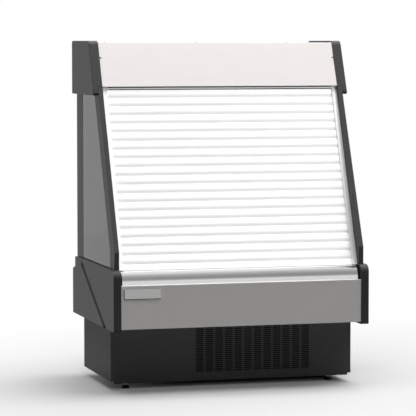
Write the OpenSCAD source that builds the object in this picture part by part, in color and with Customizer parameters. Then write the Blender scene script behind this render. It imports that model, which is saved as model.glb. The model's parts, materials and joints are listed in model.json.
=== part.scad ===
// Open multideck display fridge with a roll-down slatted shutter.
// Every outline in (y, z) is measured from the front of the end panels and from the floor.
// The finished pieces are then centred, so that the origin is on the floor under the middle.

/* [Overall] */
// Width over the header end caps
overall_w = 1175; // [1060:5:1500]
// Depth from the front of the end panels to the rear spacer edge
overall_d = 805; // [780:5:900]
// Height from the floor to the top of the header end caps
overall_h = 1524; // [1440:2:1700]

/* [Levels] */
// Floor to the underside of the base pan
base_gap = 30; // [28:1:40]
// Floor to the underside of the end panels
tub_z = 277; // [265:1:300]
// Height of each end panel
end_h = 263; // [255:1:290]
// Height of the header end caps
cap_h = 240; // [225:1:280]
// How far a cap hangs down outside its side frame
cap_skirt = 38; // [20:1:60]

/* [End panels and side frames] */
// Thickness of a header end cap
cap_t = 43.5; // [36:0.5:52]
// Thickness of a lower end panel
end_panel_t = 34; // [30:1:40]
// Thickness of a glazed side frame
side_frame_t = 21; // [18:1:26]
// How far the end panels reach behind the back of the cabinet
rear_spacer = 38; // [20:1:60]
// Radius of the top front corner of an end panel
bumper_r = 33; // [15:1:40]
// Front of the side frame behind the front of the end panel
stile_foot_y = 37; // [30:1:50]
// Straight upright length at the foot of the front stile
stile_foot_h = 76; // [50:1:120]
// Front of the header floor behind the front of the end panel
header_setback = 341; // [300:1:380]
// Width of the front stile
front_stile_w = 80; // [60:1:100]
// Width of the rear stile
rear_stile_w = 122; // [80:1:140]
// Height of the top rail of a side frame
top_rail_h = 36; // [36:1:60]
// Thickness of one glass pane
pane_t = 4; // [3:0.5:6]
// Width of the diagonal recess in an end panel
recess_w = 29; // [20:1:36]
// Depth of the diagonal recess
recess_depth = 11; // [6:1:14]

/* [Base] */
// Front of the base behind the front of the end panels
base_setback = 167; // [140:1:200]
// Depth of the base
base_d = 524; // [480:2:540]
// How far the base stands out past the inner face of the end panels
base_overhang = 8; // [2:1:20]
// How far the base pan stands in from the base side panels
toe_inset = 15; // [5:1:30]
// Height of the base pan that shows under the base panels
toe_h = 10; // [5:1:20]
// Height of the walls of the base pan
pan_wall_h = 40; // [36:1:60]
// Number of slot columns in the base grille
grille_columns = 12; // [4:1:14]
// Spacing of the slot columns
grille_column_pitch = 44.3; // [40:0.1:46]
// Length of one grille slot
grille_slot_l = 35.2; // [20:0.1:36]
// Spacing of the slots up a column
grille_slot_pitch = 8.7; // [8:0.1:12]
// Height of one grille slot
grille_slot_h = 4.6; // [2:0.1:5.5]
// Centre of the grille to the right of the middle
grille_centre_x = 94.4; // [60:1:120]

/* [Feet] */
// Radius of a foot pad
pad_r = 18.5; // [14:0.5:24]
// Height of a foot pad
pad_h = 16; // [10:1:20]
// Radius of a foot stem
stem_r = 6; // [5:0.5:8]
// Feet in from the sides of the base
foot_inset_x = 83.5; // [60:1:120]
// Feet in from the front and rear of the base
foot_inset_y = 75; // [50:1:110]

/* [Front panel and nosing] */
// Height of the grey front panel
front_panel_h = 188; // [170:1:188]
// Front panel behind the front of the end panels
front_panel_inset = 3; // [2:0.5:8]
// Radius of the rounded nosing
nosing_r = 50; // [40:1:52]
// Nosing behind the front of the end panels
nosing_inset = 22; // [18:1:30]
// Flat top of the nosing behind its rounding
nosing_flat = 23; // [10:1:40]
// Width of the bare badge plate
badge_w = 164.5; // [80:1:200]
// Height of the bare badge plate
badge_h = 46; // [20:1:60]
// Badge plate in from the left end panel
badge_inset = 11; // [5:1:60]
// Badge plate below the top of the front panel
badge_drop = 14; // [8:1:40]

/* [Insulated cabinet] */
// Thickness of the foam in the rear wall
rear_foam_t = 45; // [30:1:60]
// Thickness of the foam in the floor
floor_foam_t = 45; // [30:1:50]
// Thickness of the foam in the front wall
front_foam_t = 38; // [30:1:44]
// Width of the air duct behind the display space
duct_w = 66; // [40:1:80]
// Height of the display deck above the underside of the end panels
deck_h = 226; // [215:1:240]
// Thickness of the display deck and shelves
shelf_t = 1.5; // [1:0.1:3]

/* [Shelves] */
// Place of the upper shelf between the deck and the header
upper_shelf_share = 0.662; // [0.6:0.002:0.72]
// Place of the lower shelf between the deck and the header
lower_shelf_share = 0.363; // [0.3:0.001:0.43]
// Gap between the shutter and the front of the shelves
shelf_clear = 75; // [60:5:110]
// Height of the front lip of a shelf
shelf_lip_h = 30; // [20:1:40]

/* [Shutter] */
// Height of one slat
slat_pitch = 40; // [30:1:50]
// Thickness of the slats
slat_t = 8; // [6:0.5:9]
// Height of the bottom bar and its seal
bar_h = 37; // [30:0.5:45]
// Thickness of the bottom bar
bar_t = 12; // [11:0.5:12.5]
// Shutter behind the front of the header at the header floor
shutter_inset = 21; // [18:1:26]
// Visible edge of the guides in from the end panels
guide_w = 23; // [18:1:28]
// Gap between the ends of the slats and the bottoms of the guides
slat_end_gap = 3; // [2:0.5:8]
// Radius of the roller barrel
barrel_r = 46; // [40:1:48]
// Height of the barrel axis above the header floor
barrel_rise = 103; // [95:1:110]

/* [Refrigeration] */
// Radius of the condenser fan blades
cond_fan_r = 85; // [60:1:88]
// Radius of the evaporator fan blades
evap_fan_r = 66; // [50:1:68]
// Radius of the compressor shell
compressor_r = 80; // [60:1:95]
// Height of the compressor
compressor_h = 175; // [140:1:185]
// Radius of the hole in the cord gland
gland_bore_r = 5; // [3:0.5:7]

/* [Hidden] */

// Facets of round pieces
$fn = 48;
// Overrun of a cut past the face it opens
cut = 1;
// Clearance between pieces that sit side by side
gap = 0.3;
// Radial clearance of a running fit
fit = 0.06;
// Thickness of folded sheet metal
sheet_t = 1.5;
// Thickness of the cabinet's outer and inner sheets
skin_t = 1.2;
// Left and right, or rear and front
SIDES = [-1, 1];

half_in = overall_w / 2 - cap_t;
back_y = overall_d - rear_spacer;
end_top_z = tub_z + end_h;
header_z = overall_h - cap_h + cap_skirt;
knee_z = end_top_z + stile_foot_h;
rake = (header_setback - stile_foot_y) / (header_z - knee_z);
// Front line of the stiles, header caps and header panel at height z
function rake_y(z) = stile_foot_y + rake * (z - knee_z);

// Points of an arc about a centre
function arc(centre, r, a0, a1, n) =
    [for (i = [0:n]) centre + r * [cos(a0 + (a1 - a0) * i / n), sin(a0 + (a1 - a0) * i / n)]];
function unit(v) = v / norm(v);
// Points that round the corner at b, between a and c
function corner(a, b, c, r, n) =
    let (u = unit(a - b), v = unit(c - b), half = acos(u * v) / 2, turn = 180 - 2 * half)
    let (centre = b + unit(u + v) * r / sin(half), back = r / tan(half))
    let (p = b + u * back - centre, q = b + v * back - centre)
    [for (i = [0:n]) centre + (p * sin(turn * (1 - i / n)) + q * sin(turn * i / n)) / sin(turn)];
// Outline with each corner rounded by its own radius
function rounded(points, radii, n = 6) =
    let (last = len(points) - 1)
    [for (i = [0:last])
        each radii[i] == 0 ? [points[i]] :
            corner(points[i == 0 ? last : i - 1], points[i], points[i == last ? 0 : i + 1], radii[i], n)];

// Moves a piece drawn from the front of the end panels to the part's own origin
module from_front() {
    translate([0, -overall_d / 2, 0]) children();
}
// Draws a right-hand piece, or its mirror image for the left
module on_side(s) {
    if (s > 0) children();
    else mirror([1, 0, 0]) children();
}
// Slab along X whose outline is drawn in (y, z)
module slab(x0, w) {
    translate([x0, 0, 0]) rotate([90, 0, 90]) linear_extrude(w) children();
}
// Box from its lowest to its highest corner
module block(low, high) {
    translate(low) cube(high - low);
}
// Cylinder along Y that starts at a point
module rod_y(at, r, length) {
    translate(at) rotate([-90, 0, 0]) cylinder(r = r, h = length);
}
// Cylinder along X that starts at a point
module rod_x(at, r, length) {
    translate(at) rotate([0, 90, 0]) cylinder(r = r, h = length);
}

// Base: pan, corner posts, grille and panels

base_half = half_in + base_overhang;
base_rear_y = base_setback + base_d;
panel_z0 = base_gap + toe_h;
panel_z1 = tub_z - gap;
pan_half = base_half - toe_inset;
pan_front_y = base_setback;
pan_rear_y = base_rear_y - toe_inset;
pan_t = 2;
cabinet_z = tub_z + toe_h;
foot_x = base_half - foot_inset_x;
foot_front_y = base_setback + foot_inset_y;
foot_rear_y = base_rear_y - foot_inset_y;
weld_nut_r = 13;
weld_nut_h = 12;
drain_hole_r = 9;
post_w = 40;
post_t = 2.5;
// Corners of the pan that carry posts, as left or right and front or rear
POST_CORNERS = [[-1, 0], [1, 0], [-1, 1], [1, 1]];

function foot_place(sx, rear) = [sx * foot_x, rear ? foot_rear_y : foot_front_y];

module base_pan() {
    front = pan_front_y + sheet_t + gap;
    color("#1c1c1d") from_front() difference() {
        union() {
            difference() {
                block([-pan_half, front, base_gap], [pan_half, pan_rear_y, base_gap + pan_wall_h]);
                block([-pan_half + pan_t, front + pan_t, base_gap + pan_t],
                      [pan_half - pan_t, pan_rear_y - pan_t, base_gap + pan_wall_h + cut]);
            }
            for (sx = SIDES, rear = [false, true])
                translate([each foot_place(sx, rear), base_gap + pan_t / 2])
                    cylinder(r = weld_nut_r, h = pan_t / 2 + weld_nut_h, $fn = 6);
        }
        for (sx = SIDES, rear = [false, true])
            translate([each foot_place(sx, rear), base_gap - cut])
                cylinder(r = stem_r + fit, h = pan_t + weld_nut_h + 2 * cut);
        translate([0, pan_rear_y - foot_inset_y, base_gap - cut])
            cylinder(r = drain_hole_r, h = pan_t + 2 * cut);
    }
}

module corner_posts() {
    color("#2b2b2c") from_front() for (c = POST_CORNERS) on_side(c[0]) {
        x1 = pan_half - pan_t - gap;
        y0 = c[1] == 0 ? pan_front_y + sheet_t + pan_t + 2 * gap : pan_rear_y - pan_t - gap - post_w;
        y_web = c[1] == 0 ? y0 : y0 + post_w - post_t;
        z0 = base_gap + pan_t;
        block([x1 - post_t, y0, z0], [x1, y0 + post_w, cabinet_z]);
        block([x1 - post_w, y_web, z0], [x1 - post_t + gap, y_web + post_t, cabinet_z]);
    }
}

grille_foot_margin = 21.5;
grille_top_margin = 10;

module base_grille() {
    rows_z0 = panel_z0 + grille_foot_margin;
    rows = 1 + floor((panel_z1 - grille_top_margin - grille_slot_h - rows_z0) / grille_slot_pitch);
    first_x = grille_centre_x - (grille_columns - 1) * grille_column_pitch / 2;
    color("#202021") from_front() difference() {
        union() {
            block([-base_half, pan_front_y, panel_z0], [base_half, pan_front_y + sheet_t, panel_z1]);
            block([-half_in + gap, pan_front_y, panel_z1 - sheet_t],
                  [half_in - gap, pan_front_y + sheet_t, cabinet_z - gap]);
        }
        for (c = [0:grille_columns - 1], r = [0:rows - 1])
            translate([first_x + c * grille_column_pitch - grille_slot_l / 2,
                       pan_front_y - cut, rows_z0 + r * grille_slot_pitch])
                cube([grille_slot_l, sheet_t + 2 * cut, grille_slot_h]);
    }
}

module base_side(s) {
    color("#3a3a3b") from_front() on_side(s) {
        difference() {
            block([base_half - toe_inset + gap, pan_front_y + sheet_t + gap, panel_z0],
                  [base_half, base_rear_y, panel_z1]);
            block([base_half - toe_inset, pan_front_y + 2 * sheet_t + gap, panel_z0 - cut],
                  [base_half - sheet_t, base_rear_y - sheet_t, panel_z1 - sheet_t]);
        }
    }
}

vent_slot_l = 60;
vent_slot_h = 6;
vent_pitch = 14;
vent_rows = 8;
VENT_COLUMN_SHARES = [-0.6, -0.36, 0.36, 0.6];
gland_r = 11;
gland_x = base_half - foot_inset_x;
gland_rise = 80;
gland_z = panel_z0 + gland_rise;

module base_rear_panel() {
    y0 = base_rear_y - toe_inset + gap;
    color("#3a3a3b") from_front() difference() {
        block([-base_half + toe_inset + gap, y0, panel_z0],
              [base_half - toe_inset - gap, y0 + sheet_t, panel_z1]);
        for (share = VENT_COLUMN_SHARES, r = [0:vent_rows - 1])
            translate([share * base_half - vent_slot_l / 2, y0 - cut, panel_z1 - (r + 2) * vent_pitch])
                cube([vent_slot_l, sheet_t + 2 * cut, vent_slot_h]);
        rod_y([gland_x, y0 - cut, gland_z], gland_r + gap, sheet_t + 2 * cut);
    }
}

// Feet

foot_taper = 0.5;
pad_edge_h = 3;
stem_top = base_gap + pan_t + weld_nut_h + pad_h;

module foot(sx, rear) {
    color("#151515") from_front() translate(foot_place(sx, rear)) {
        cylinder(r = pad_r, h = pad_edge_h);
        translate([0, 0, pad_edge_h]) cylinder(r1 = pad_r, r2 = pad_r * foot_taper, h = pad_h - pad_edge_h);
        cylinder(r = stem_r, h = stem_top);
        translate([0, 0, pad_h]) cylinder(r = weld_nut_r * 0.8, h = base_gap - pad_h - gap, $fn = 6);
    }
}

// Machine compartment

unit_z = base_gap + pan_t;
grommet_r = 14;
grommet_h = 12;
compressor_x = -pan_half * 0.36;
compressor_y = pan_front_y + base_d / 2;
compressor_foot_h = 4;
compressor_seam_h = 6;
shell_corner_share = 0.42;
fixing_r = 4;
compressor_top_z = unit_z + grommet_h + compressor_h;

module compressor() {
    foot = compressor_r;
    z0 = unit_z + grommet_h;
    dome = compressor_r * shell_corner_share;
    color("#1d1d1f") from_front() translate([compressor_x, compressor_y, 0]) {
        translate([0, 0, z0 + compressor_foot_h]) rotate_extrude() polygon(concat(
            [[0, 0], [compressor_r - dome, 0]],
            arc([compressor_r - dome, dome], dome, -90, 0, 6),
            [[compressor_r, compressor_h / 2], [compressor_r + compressor_seam_h / 2, compressor_h / 2],
             [compressor_r + compressor_seam_h / 2, compressor_h / 2 + compressor_seam_h],
             [compressor_r, compressor_h / 2 + compressor_seam_h]],
            arc([compressor_r - dome, compressor_h - compressor_foot_h - dome], dome, 0, 90, 6),
            [[0, compressor_h - compressor_foot_h]]));
        difference() {
            block([-foot, -foot, z0], [foot, foot, z0 + compressor_foot_h + cut]);
            for (x = SIDES, y = SIDES)
                translate([x * (foot - grommet_r), y * (foot - grommet_r), z0 - cut])
                    cylinder(r = fixing_r, h = compressor_foot_h + 3 * cut);
        }
        translate([compressor_r * 0.98, 0, z0 + compressor_h * 0.6])
            block([-cut, -grommet_r * 2, 0], [grommet_r * 1.6, grommet_r * 2, grommet_r * 3]);
    }
}

module compressor_mounts() {
    place = compressor_r - grommet_r;
    color("#101010") from_front() translate([compressor_x, compressor_y, unit_z])
        for (x = SIDES, y = SIDES) translate([x * place, y * place, 0]) {
            cylinder(r = grommet_r, h = grommet_h - gap);
            cylinder(r = fixing_r - gap, h = grommet_h + compressor_foot_h + grommet_h / 2);
        }
}

coil_w = 430;
coil_t = 44;
coil_h = 190;
coil_x = grille_centre_x;
coil_setback = 40;
coil_y = pan_front_y + coil_setback;
fin_pitch = 12;
fin_t = 2;
tube_r = 4.8;
tube_rows = 6;
coil_end_t = 3;

// Finned block with end plates and return bends; the core stands a little inside its fins
module coil(x0, y0, z0, w, t, h, rows) {
    core = tube_r;
    block([x0, y0 + core, z0 + core], [x0 + w, y0 + t - core, z0 + h - core]);
    for (i = [0:floor(w / fin_pitch)])
        block([x0 + min(i * fin_pitch, w - fin_t), y0 + core / 2, z0 + core / 2],
              [x0 + min(i * fin_pitch, w - fin_t) + fin_t, y0 + t - core / 2, z0 + h - core / 2]);
    for (x = [x0 - coil_end_t, x0 + w]) block([x, y0, z0], [x + coil_end_t, y0 + t, z0 + h]);
    for (x = [x0 - coil_end_t - 3 * tube_r, x0 + w + coil_end_t - cut], r = [0:rows - 1])
        rod_x([x, y0 + t / 2, z0 + h * (r + 0.5) / rows], tube_r, 3 * tube_r + cut);
}

module condenser_coil() {
    color("#8d8d8a") from_front()
        coil(coil_x - coil_w / 2, coil_y, unit_z, coil_w, coil_t, coil_h, tube_rows);
}

shroud_y = coil_y + coil_t + gap;
shroud_d = 60;
shroud_z = unit_z;
fan_x = coil_x;
fan_z = unit_z + coil_h / 2;
fan_clear = 4;
fan_hub_r = 24;
fan_hub_h = 26;
fan_shaft_r = 4;
motor_r = 42;
motor_h = 62;
blade_t = 2.5;
blade_angle = 28;
fan_y = shroud_y + shroud_d - fan_hub_h - fan_clear;

module condenser_fan_shroud() {
    inner = sheet_t;
    color("#2a2a2b") from_front() difference() {
        union() {
            block([coil_x - coil_w / 2, shroud_y, shroud_z],
                  [coil_x + coil_w / 2, shroud_y + shroud_d / 2, shroud_z + coil_h]);
            rod_y([fan_x, shroud_y + shroud_d / 2 - cut, fan_z],
                  cond_fan_r + fan_clear + inner, shroud_d / 2 + cut);
        }
        block([coil_x - coil_w / 2 + inner, shroud_y - cut, shroud_z + inner],
              [coil_x + coil_w / 2 - inner, shroud_y + shroud_d / 2 - inner, shroud_z + coil_h - inner]);
        rod_y([fan_x, shroud_y, fan_z], cond_fan_r + fan_clear, shroud_d + cut);
    }
}

// Motor behind the fan on three arms that reach the fan ring; the shaft turns with the blades
module fan_motor(y0, ring_r, r, h) {
    arm_w = r / 3;
    difference() {
        union() {
            rod_y([0, y0, 0], r, h);
            for (a = [90, 210, 330]) rotate([0, a, 0])
                block([r * 0.7, y0, -arm_w / 2], [ring_r, y0 + sheet_t * 2, arm_w / 2]);
        }
        rod_y([0, y0 - cut, 0], fan_shaft_r + fit, h / 2 + cut);
    }
}

module condenser_fan_motor() {
    color("#333335") from_front() translate([fan_x, 0, fan_z])
        fan_motor(shroud_y + shroud_d + gap, cond_fan_r + fan_clear + sheet_t, motor_r, motor_h);
}

// Blades pitched about their own radius, on a hub with a short shaft behind it
module fan_blade(r, hub_r, hub_h, shaft_l, blades) {
    chord = r * 0.62;
    rod_y([0, 0, 0], hub_r, hub_h);
    rod_y([0, hub_h - cut, 0], fan_shaft_r, shaft_l + cut);
    intersection() {
        rod_y([0, -hub_h, 0], r, hub_h * 3);
        for (i = [0:blades - 1]) rotate([0, i * 360 / blades, 0])
            translate([hub_r - cut * 2, hub_h / 2, 0]) rotate([blade_angle, 0, 0])
                block([0, -blade_t / 2, -chord / 2], [r - hub_r + cut * 2, blade_t / 2, chord / 2]);
    }
}

module condenser_fan_blade() {
    color("#9a9c9e") from_front() translate([fan_x, fan_y, fan_z])
        fan_blade(cond_fan_r, fan_hub_r, fan_hub_h, motor_h / 2, 5);
}

tray_w = 300;
tray_d = 200;
tray_h = 34;
tray_x = grille_centre_x;
tray_rear_y = pan_rear_y - pan_t - 2 * gap - post_t;

module drain_pan() {
    color("#b9bcbe") from_front() difference() {
        block([tray_x - tray_w / 2, tray_rear_y - tray_d, unit_z],
              [tray_x + tray_w / 2, tray_rear_y, unit_z + tray_h]);
        block([tray_x - tray_w / 2 + sheet_t, tray_rear_y - tray_d + sheet_t, unit_z + sheet_t],
              [tray_x + tray_w / 2 - sheet_t, tray_rear_y - sheet_t, unit_z + tray_h + cut]);
    }
}

box_w = 150;
box_d = 180;
box_h = 110;
box_x = -pan_half * 0.72;

module electrical_box() {
    y0 = compressor_y - box_d / 2;
    color("#c9cbcc") from_front() difference() {
        union() {
            block([box_x - box_w / 2, y0, unit_z], [box_x + box_w / 2, y0 + box_d, unit_z + box_h - sheet_t]);
            block([box_x - box_w / 2 - sheet_t, y0 - sheet_t, unit_z + box_h - sheet_t],
                  [box_x + box_w / 2 + sheet_t, y0 + box_d + sheet_t, unit_z + box_h]);
        }
        block([box_x - box_w / 2 + sheet_t, y0 + sheet_t, unit_z + sheet_t],
              [box_x + box_w / 2 - sheet_t, y0 + box_d - sheet_t, unit_z + box_h - sheet_t]);
    }
}

gland_flange_r = 16;
gland_flange_t = 4;
gland_nose_h = 16;

module cord_gland() {
    y0 = base_rear_y - toe_inset + gap;
    color("#141414") from_front() difference() {
        union() {
            rod_y([gland_x, y0 - gland_nose_h / 2, gland_z], gland_r, gland_nose_h / 2 + sheet_t + cut);
            rod_y([gland_x, y0 + sheet_t, gland_z], gland_flange_r, gland_flange_t);
            rod_y([gland_x, y0 + sheet_t + gland_flange_t - cut, gland_z], gland_r, gland_nose_h + cut);
        }
        rod_y([gland_x, y0 - gland_nose_h, gland_z], gland_bore_r, 3 * gland_nose_h);
    }
}

// Insulated cabinet: an open-fronted L of outer sheet, foam and liner

skin_front_y = nosing_inset;
lip_drop = 4.5;
lip_z = tub_z + toe_h + front_panel_h - lip_drop;
top_drop = 8;
top_z = overall_h - top_drop;
cover_t = 2;
skin_top_z = top_z - cover_t - gap;
cab_half = half_in - gap;
foam_front_y = skin_front_y + skin_t;
foam_front_in = foam_front_y + front_foam_t;
foam_floor_z = cabinet_z + skin_t + floor_foam_t;
foam_rear_y = back_y - skin_t;
foam_rear_in = foam_rear_y - rear_foam_t;
liner_rear_in = foam_rear_in - skin_t;
liner_floor_z = foam_floor_z + skin_t;
duct_panel_y = liner_rear_in - duct_w;
deck_z = tub_z + deck_h;

// Outline of an L-shaped layer between two sets of limits
function layer(front0, front1, floor0, floor1, rear0, rear1, front_top, rear_top) = [
    [front0, front_top], [front0, floor0], [rear1, floor0], [rear1, rear_top],
    [rear0, rear_top], [rear0, floor1], [front1, floor1], [front1, front_top]];

drain_r = 14;
drain_bore_r = 11;
drain_y = tray_rear_y - tray_d / 2;
drain_flange_r = 20;
evap_end_room = 113.7;
evap_w = 2 * (cab_half - evap_end_room);
evap_t = 150;
evap_h = 100;
evap_gap = 22;
evap_leg_h = 12;
evap_rows = 4;
evap_y = duct_panel_y - evap_t - evap_gap;
evap_z = liner_floor_z + evap_leg_h;
suction_r = 6;
liquid_r = 4;
riser_step = 20;
riser_x = -evap_w / 2 - 2 * riser_step;
// Pipes that rise through the cabinet floor, as place across the cabinet and radius
RISERS = [[riser_x, suction_r], [riser_x - riser_step, liquid_r]];

// Holes through the floor for the pipes and the drain
module floor_holes() {
    for (p = RISERS) translate([p[0], evap_y + evap_t / 2, cabinet_z - cut])
        cylinder(r = p[1] + gap, h = evap_z - cabinet_z);
    translate([tray_x, drain_y, cabinet_z - cut]) cylinder(r = drain_r + gap, h = evap_z - cabinet_z);
}

module cabinet_skin() {
    color("#8f9193") from_front() difference() {
        slab(-cab_half, 2 * cab_half)
            polygon(layer(skin_front_y, foam_front_y, cabinet_z, cabinet_z + skin_t,
                          foam_rear_y, back_y, lip_z, skin_top_z));
        floor_holes();
    }
}

module cabinet_foam() {
    color("#e8dcae") from_front() difference() {
        slab(-cab_half, 2 * cab_half)
            polygon(layer(foam_front_y, foam_front_in, cabinet_z + skin_t, foam_floor_z,
                          foam_rear_in, foam_rear_y, lip_z, skin_top_z));
        floor_holes();
    }
}

module cabinet_liner() {
    color("#e9e9e7") from_front() difference() {
        slab(-cab_half, 2 * cab_half)
            polygon(layer(foam_front_in, foam_front_in + skin_t, foam_floor_z, liner_floor_z,
                          liner_rear_in, foam_rear_in, lip_z, header_z - gap));
        floor_holes();
    }
}

module drain_tube() {
    z0 = unit_z + tray_h + tray_h / 2;
    color("#8b8d8f") from_front() translate([tray_x, drain_y, 0]) difference() {
        union() {
            translate([0, 0, z0]) cylinder(r = drain_r, h = liner_floor_z - z0 + skin_t / 2);
            translate([0, 0, liner_floor_z]) cylinder(r = drain_flange_r, h = skin_t);
        }
        translate([0, 0, z0 - cut]) cylinder(r = drain_bore_r, h = liner_floor_z - z0 + 3 * cut + skin_t);
    }
}

// Lower end panels

end_top_rear_inset = 10;
end_step_h = 45;
end_step_z = end_top_z - end_step_h;
end_step_drop = 14;
end_heel_r = 7;
recess_r = (pow(recess_w / 2, 2) + pow(recess_depth, 2)) / (2 * recess_depth);
recess_pocket_depth = recess_depth * 1.9;
recess_pocket_l = 26;
// Ends of the diagonal recess, as shares of the panel's depth and height
RECESS_TOP_SHARES = [0.795, 0.948];
RECESS_FOOT_SHARES = [0.209, 0];

module end_panel(s) {
    outline = [[0, tub_z], [0, end_top_z], [back_y - end_top_rear_inset, end_top_z],
               [back_y - end_top_rear_inset, end_step_z],
               [overall_d, end_step_z - end_step_drop], [overall_d, tub_z]];
    top = [overall_d * RECESS_TOP_SHARES[0], tub_z + end_h * RECESS_TOP_SHARES[1]];
    foot = [overall_d * RECESS_FOOT_SHARES[0], tub_z + end_h * RECESS_FOOT_SHARES[1]];
    run = norm(foot - top);
    fall = atan2(top[1] - foot[1], top[0] - foot[0]);
    face_x = half_in + end_panel_t;
    color("#3f3f40") from_front() on_side(s) difference() {
        slab(half_in, end_panel_t)
            polygon(rounded(outline, [end_heel_r, bumper_r, end_heel_r, 0, 0, end_heel_r]));
        translate([face_x + recess_r - recess_depth, foot[0], foot[1]]) rotate([fall - 90, 0, 0]) {
            translate([0, 0, -recess_w * 2]) cylinder(r = recess_r, h = run + recess_w * 2);
            translate([-recess_pocket_depth + recess_depth, 0, -recess_w * 2])
                cylinder(r = recess_r, h = recess_w * 2 + recess_pocket_l);
        }
    }
}

// Front panel, badge plate and nosing

panel_z = cabinet_z;
panel_top_z = panel_z + front_panel_h;
panel_back_y = skin_front_y - gap;
badge_t = 2;

module front_panel() {
    z0 = panel_z;
    z1 = panel_top_z;
    y0 = front_panel_inset;
    color("#8a8886") from_front() slab(-cab_half, 2 * cab_half) polygon([
        [y0, z0], [panel_back_y, z0], [panel_back_y, z0 + sheet_t], [y0 + sheet_t, z0 + sheet_t],
        [y0 + sheet_t, z1 - sheet_t], [panel_back_y, z1 - sheet_t], [panel_back_y, z1], [y0, z1]]);
}

module badge_plate() {
    x0 = -half_in + badge_inset;
    z1 = panel_top_z - badge_drop;
    color("#b5b3b1") from_front()
        block([x0, front_panel_inset - badge_t, z1 - badge_h], [x0 + badge_w, front_panel_inset, z1]);
}

nosing_drop = 3;
nosing_z = end_top_z - nosing_drop;
nosing_t = 2.5;
nosing_centre = [nosing_inset + nosing_r, nosing_z - nosing_r];
nosing_rear_y = nosing_centre[0] + nosing_flat;

function nosing_outline(inset) = concat(
    [[nosing_inset + inset, lip_z + gap + inset]],
    arc(nosing_centre, nosing_r - inset, 180, 90, 12),
    [[nosing_rear_y - inset, nosing_z - inset], [nosing_rear_y - inset, deck_z - inset / 2],
     [foam_front_in + skin_t - inset, lip_z + gap + inset]]);

module nosing() {
    color("#d9dadb") from_front() slab(-cab_half, 2 * cab_half) difference() {
        polygon(nosing_outline(0));
        polygon(nosing_outline(nosing_t));
    }
}

// Display deck, return grille, coil and fans under it

return_grille_w = 52;
deck_front_y = nosing_rear_y + gap + return_grille_w;
deck_lip_h = 22;
return_slot_w = 3.5;
return_slot_pitch = 9;
return_rows = 5;
return_columns = 5;
return_margin = 22;

module return_air_grille() {
    y0 = nosing_rear_y + gap;
    slot_l = (2 * half_in - return_margin * (return_columns + 1)) / return_columns;
    color("#c8cacb") from_front() difference() {
        union() {
            block([-cab_half, y0, deck_z - sheet_t], [cab_half, y0 + return_grille_w - gap, deck_z]);
            block([-cab_half, y0, deck_z - deck_lip_h], [cab_half, y0 + sheet_t, deck_z]);
        }
        for (c = [0:return_columns - 1], r = [0:return_rows - 1])
            translate([-half_in + return_margin + c * (slot_l + return_margin),
                       y0 + sheet_t * 2 + r * return_slot_pitch, deck_z - sheet_t - cut])
                cube([slot_l, return_slot_w, sheet_t + 2 * cut]);
    }
}

module deck_pan() {
    color("#e6e6e4") from_front() {
        block([-cab_half, deck_front_y, deck_z - shelf_t], [cab_half, duct_panel_y - gap, deck_z]);
        block([-cab_half, deck_front_y, deck_z - deck_lip_h],
              [cab_half, deck_front_y + shelf_t, deck_z - shelf_t / 2]);
        block([-cab_half, duct_panel_y - gap - shelf_t, deck_z - deck_lip_h],
              [cab_half, duct_panel_y - gap, deck_z - shelf_t / 2]);
    }
}

module evaporator_coil() {
    color("#9fa2a4") from_front() {
        coil(-evap_w / 2, evap_y, evap_z, evap_w, evap_t, evap_h, evap_rows);
        for (x = SIDES) on_side(x)
            block([evap_w / 2, evap_y, liner_floor_z],
                  [evap_w / 2 + coil_end_t, evap_y + evap_t, evap_z + cut]);
    }
}

plenum_setback = 44;
plenum_y = deck_front_y + plenum_setback;
plenum_top_z = deck_z - shelf_t - gap;
evap_fan_share = 0.42;
evap_fan_x = cab_half * evap_fan_share;
evap_fan_z = (liner_floor_z + plenum_top_z) / 2;
evap_ring_d = 22;
evap_hub_r = 20;
evap_hub_h = 18;
evap_motor_r = 26;
evap_motor_h = 38;

plenum_foot_d = 40;

module evaporator_fan_plenum() {
    color("#b4b7b9") from_front() difference() {
        union() {
            block([-cab_half, plenum_y, liner_floor_z], [cab_half, plenum_y + sheet_t, plenum_top_z]);
            block([-cab_half, plenum_y, liner_floor_z],
                  [cab_half, plenum_y + plenum_foot_d, liner_floor_z + sheet_t]);
            for (s = SIDES)
                rod_y([s * evap_fan_x, plenum_y, evap_fan_z],
                      evap_fan_r + fan_clear + sheet_t, evap_ring_d);
        }
        for (s = SIDES)
            rod_y([s * evap_fan_x, plenum_y - cut, evap_fan_z],
                  evap_fan_r + fan_clear, evap_ring_d + 2 * cut);
    }
}

evap_fan_y = plenum_y + evap_ring_d - evap_hub_h - fan_clear / 2;

module evaporator_fan_motors() {
    color("#3a3b3d") from_front() for (s = SIDES) translate([s * evap_fan_x, 0, evap_fan_z])
        fan_motor(plenum_y + evap_ring_d + gap, evap_fan_r + fan_clear + sheet_t,
                  evap_motor_r, evap_motor_h);
}

module evaporator_fan(s) {
    color("#b9bbbd") from_front() translate([s * evap_fan_x, evap_fan_y, evap_fan_z])
        fan_blade(evap_fan_r, evap_hub_r, evap_hub_h, evap_motor_h / 2, 5);
}

// Rear duct panel, uprights, shelves and brackets

duct_hole_w = 40;
duct_hole_h = 8;
duct_hole_pitch_x = 90;
duct_rows = 7;
duct_columns = 9;

module rear_duct_panel() {
    z0 = deck_z - shelf_t;
    z1 = header_z - gap;
    row_pitch = (z1 - z0) / (duct_rows + 1);
    color("#ececea") from_front() difference() {
        union() {
            block([-cab_half, duct_panel_y, z0], [cab_half, duct_panel_y + sheet_t, z1]);
            for (s = SIDES) on_side(s)
                block([cab_half - sheet_t, duct_panel_y, z0], [cab_half, liner_rear_in - gap, z1]);
        }
        for (c = [0:duct_columns - 1], r = [1:duct_rows])
            translate([(c - (duct_columns - 1) / 2) * duct_hole_pitch_x - duct_hole_w / 2,
                       duct_panel_y - cut, z0 + r * row_pitch])
                cube([duct_hole_w, sheet_t + 2 * cut, duct_hole_h]);
    }
}

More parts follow.
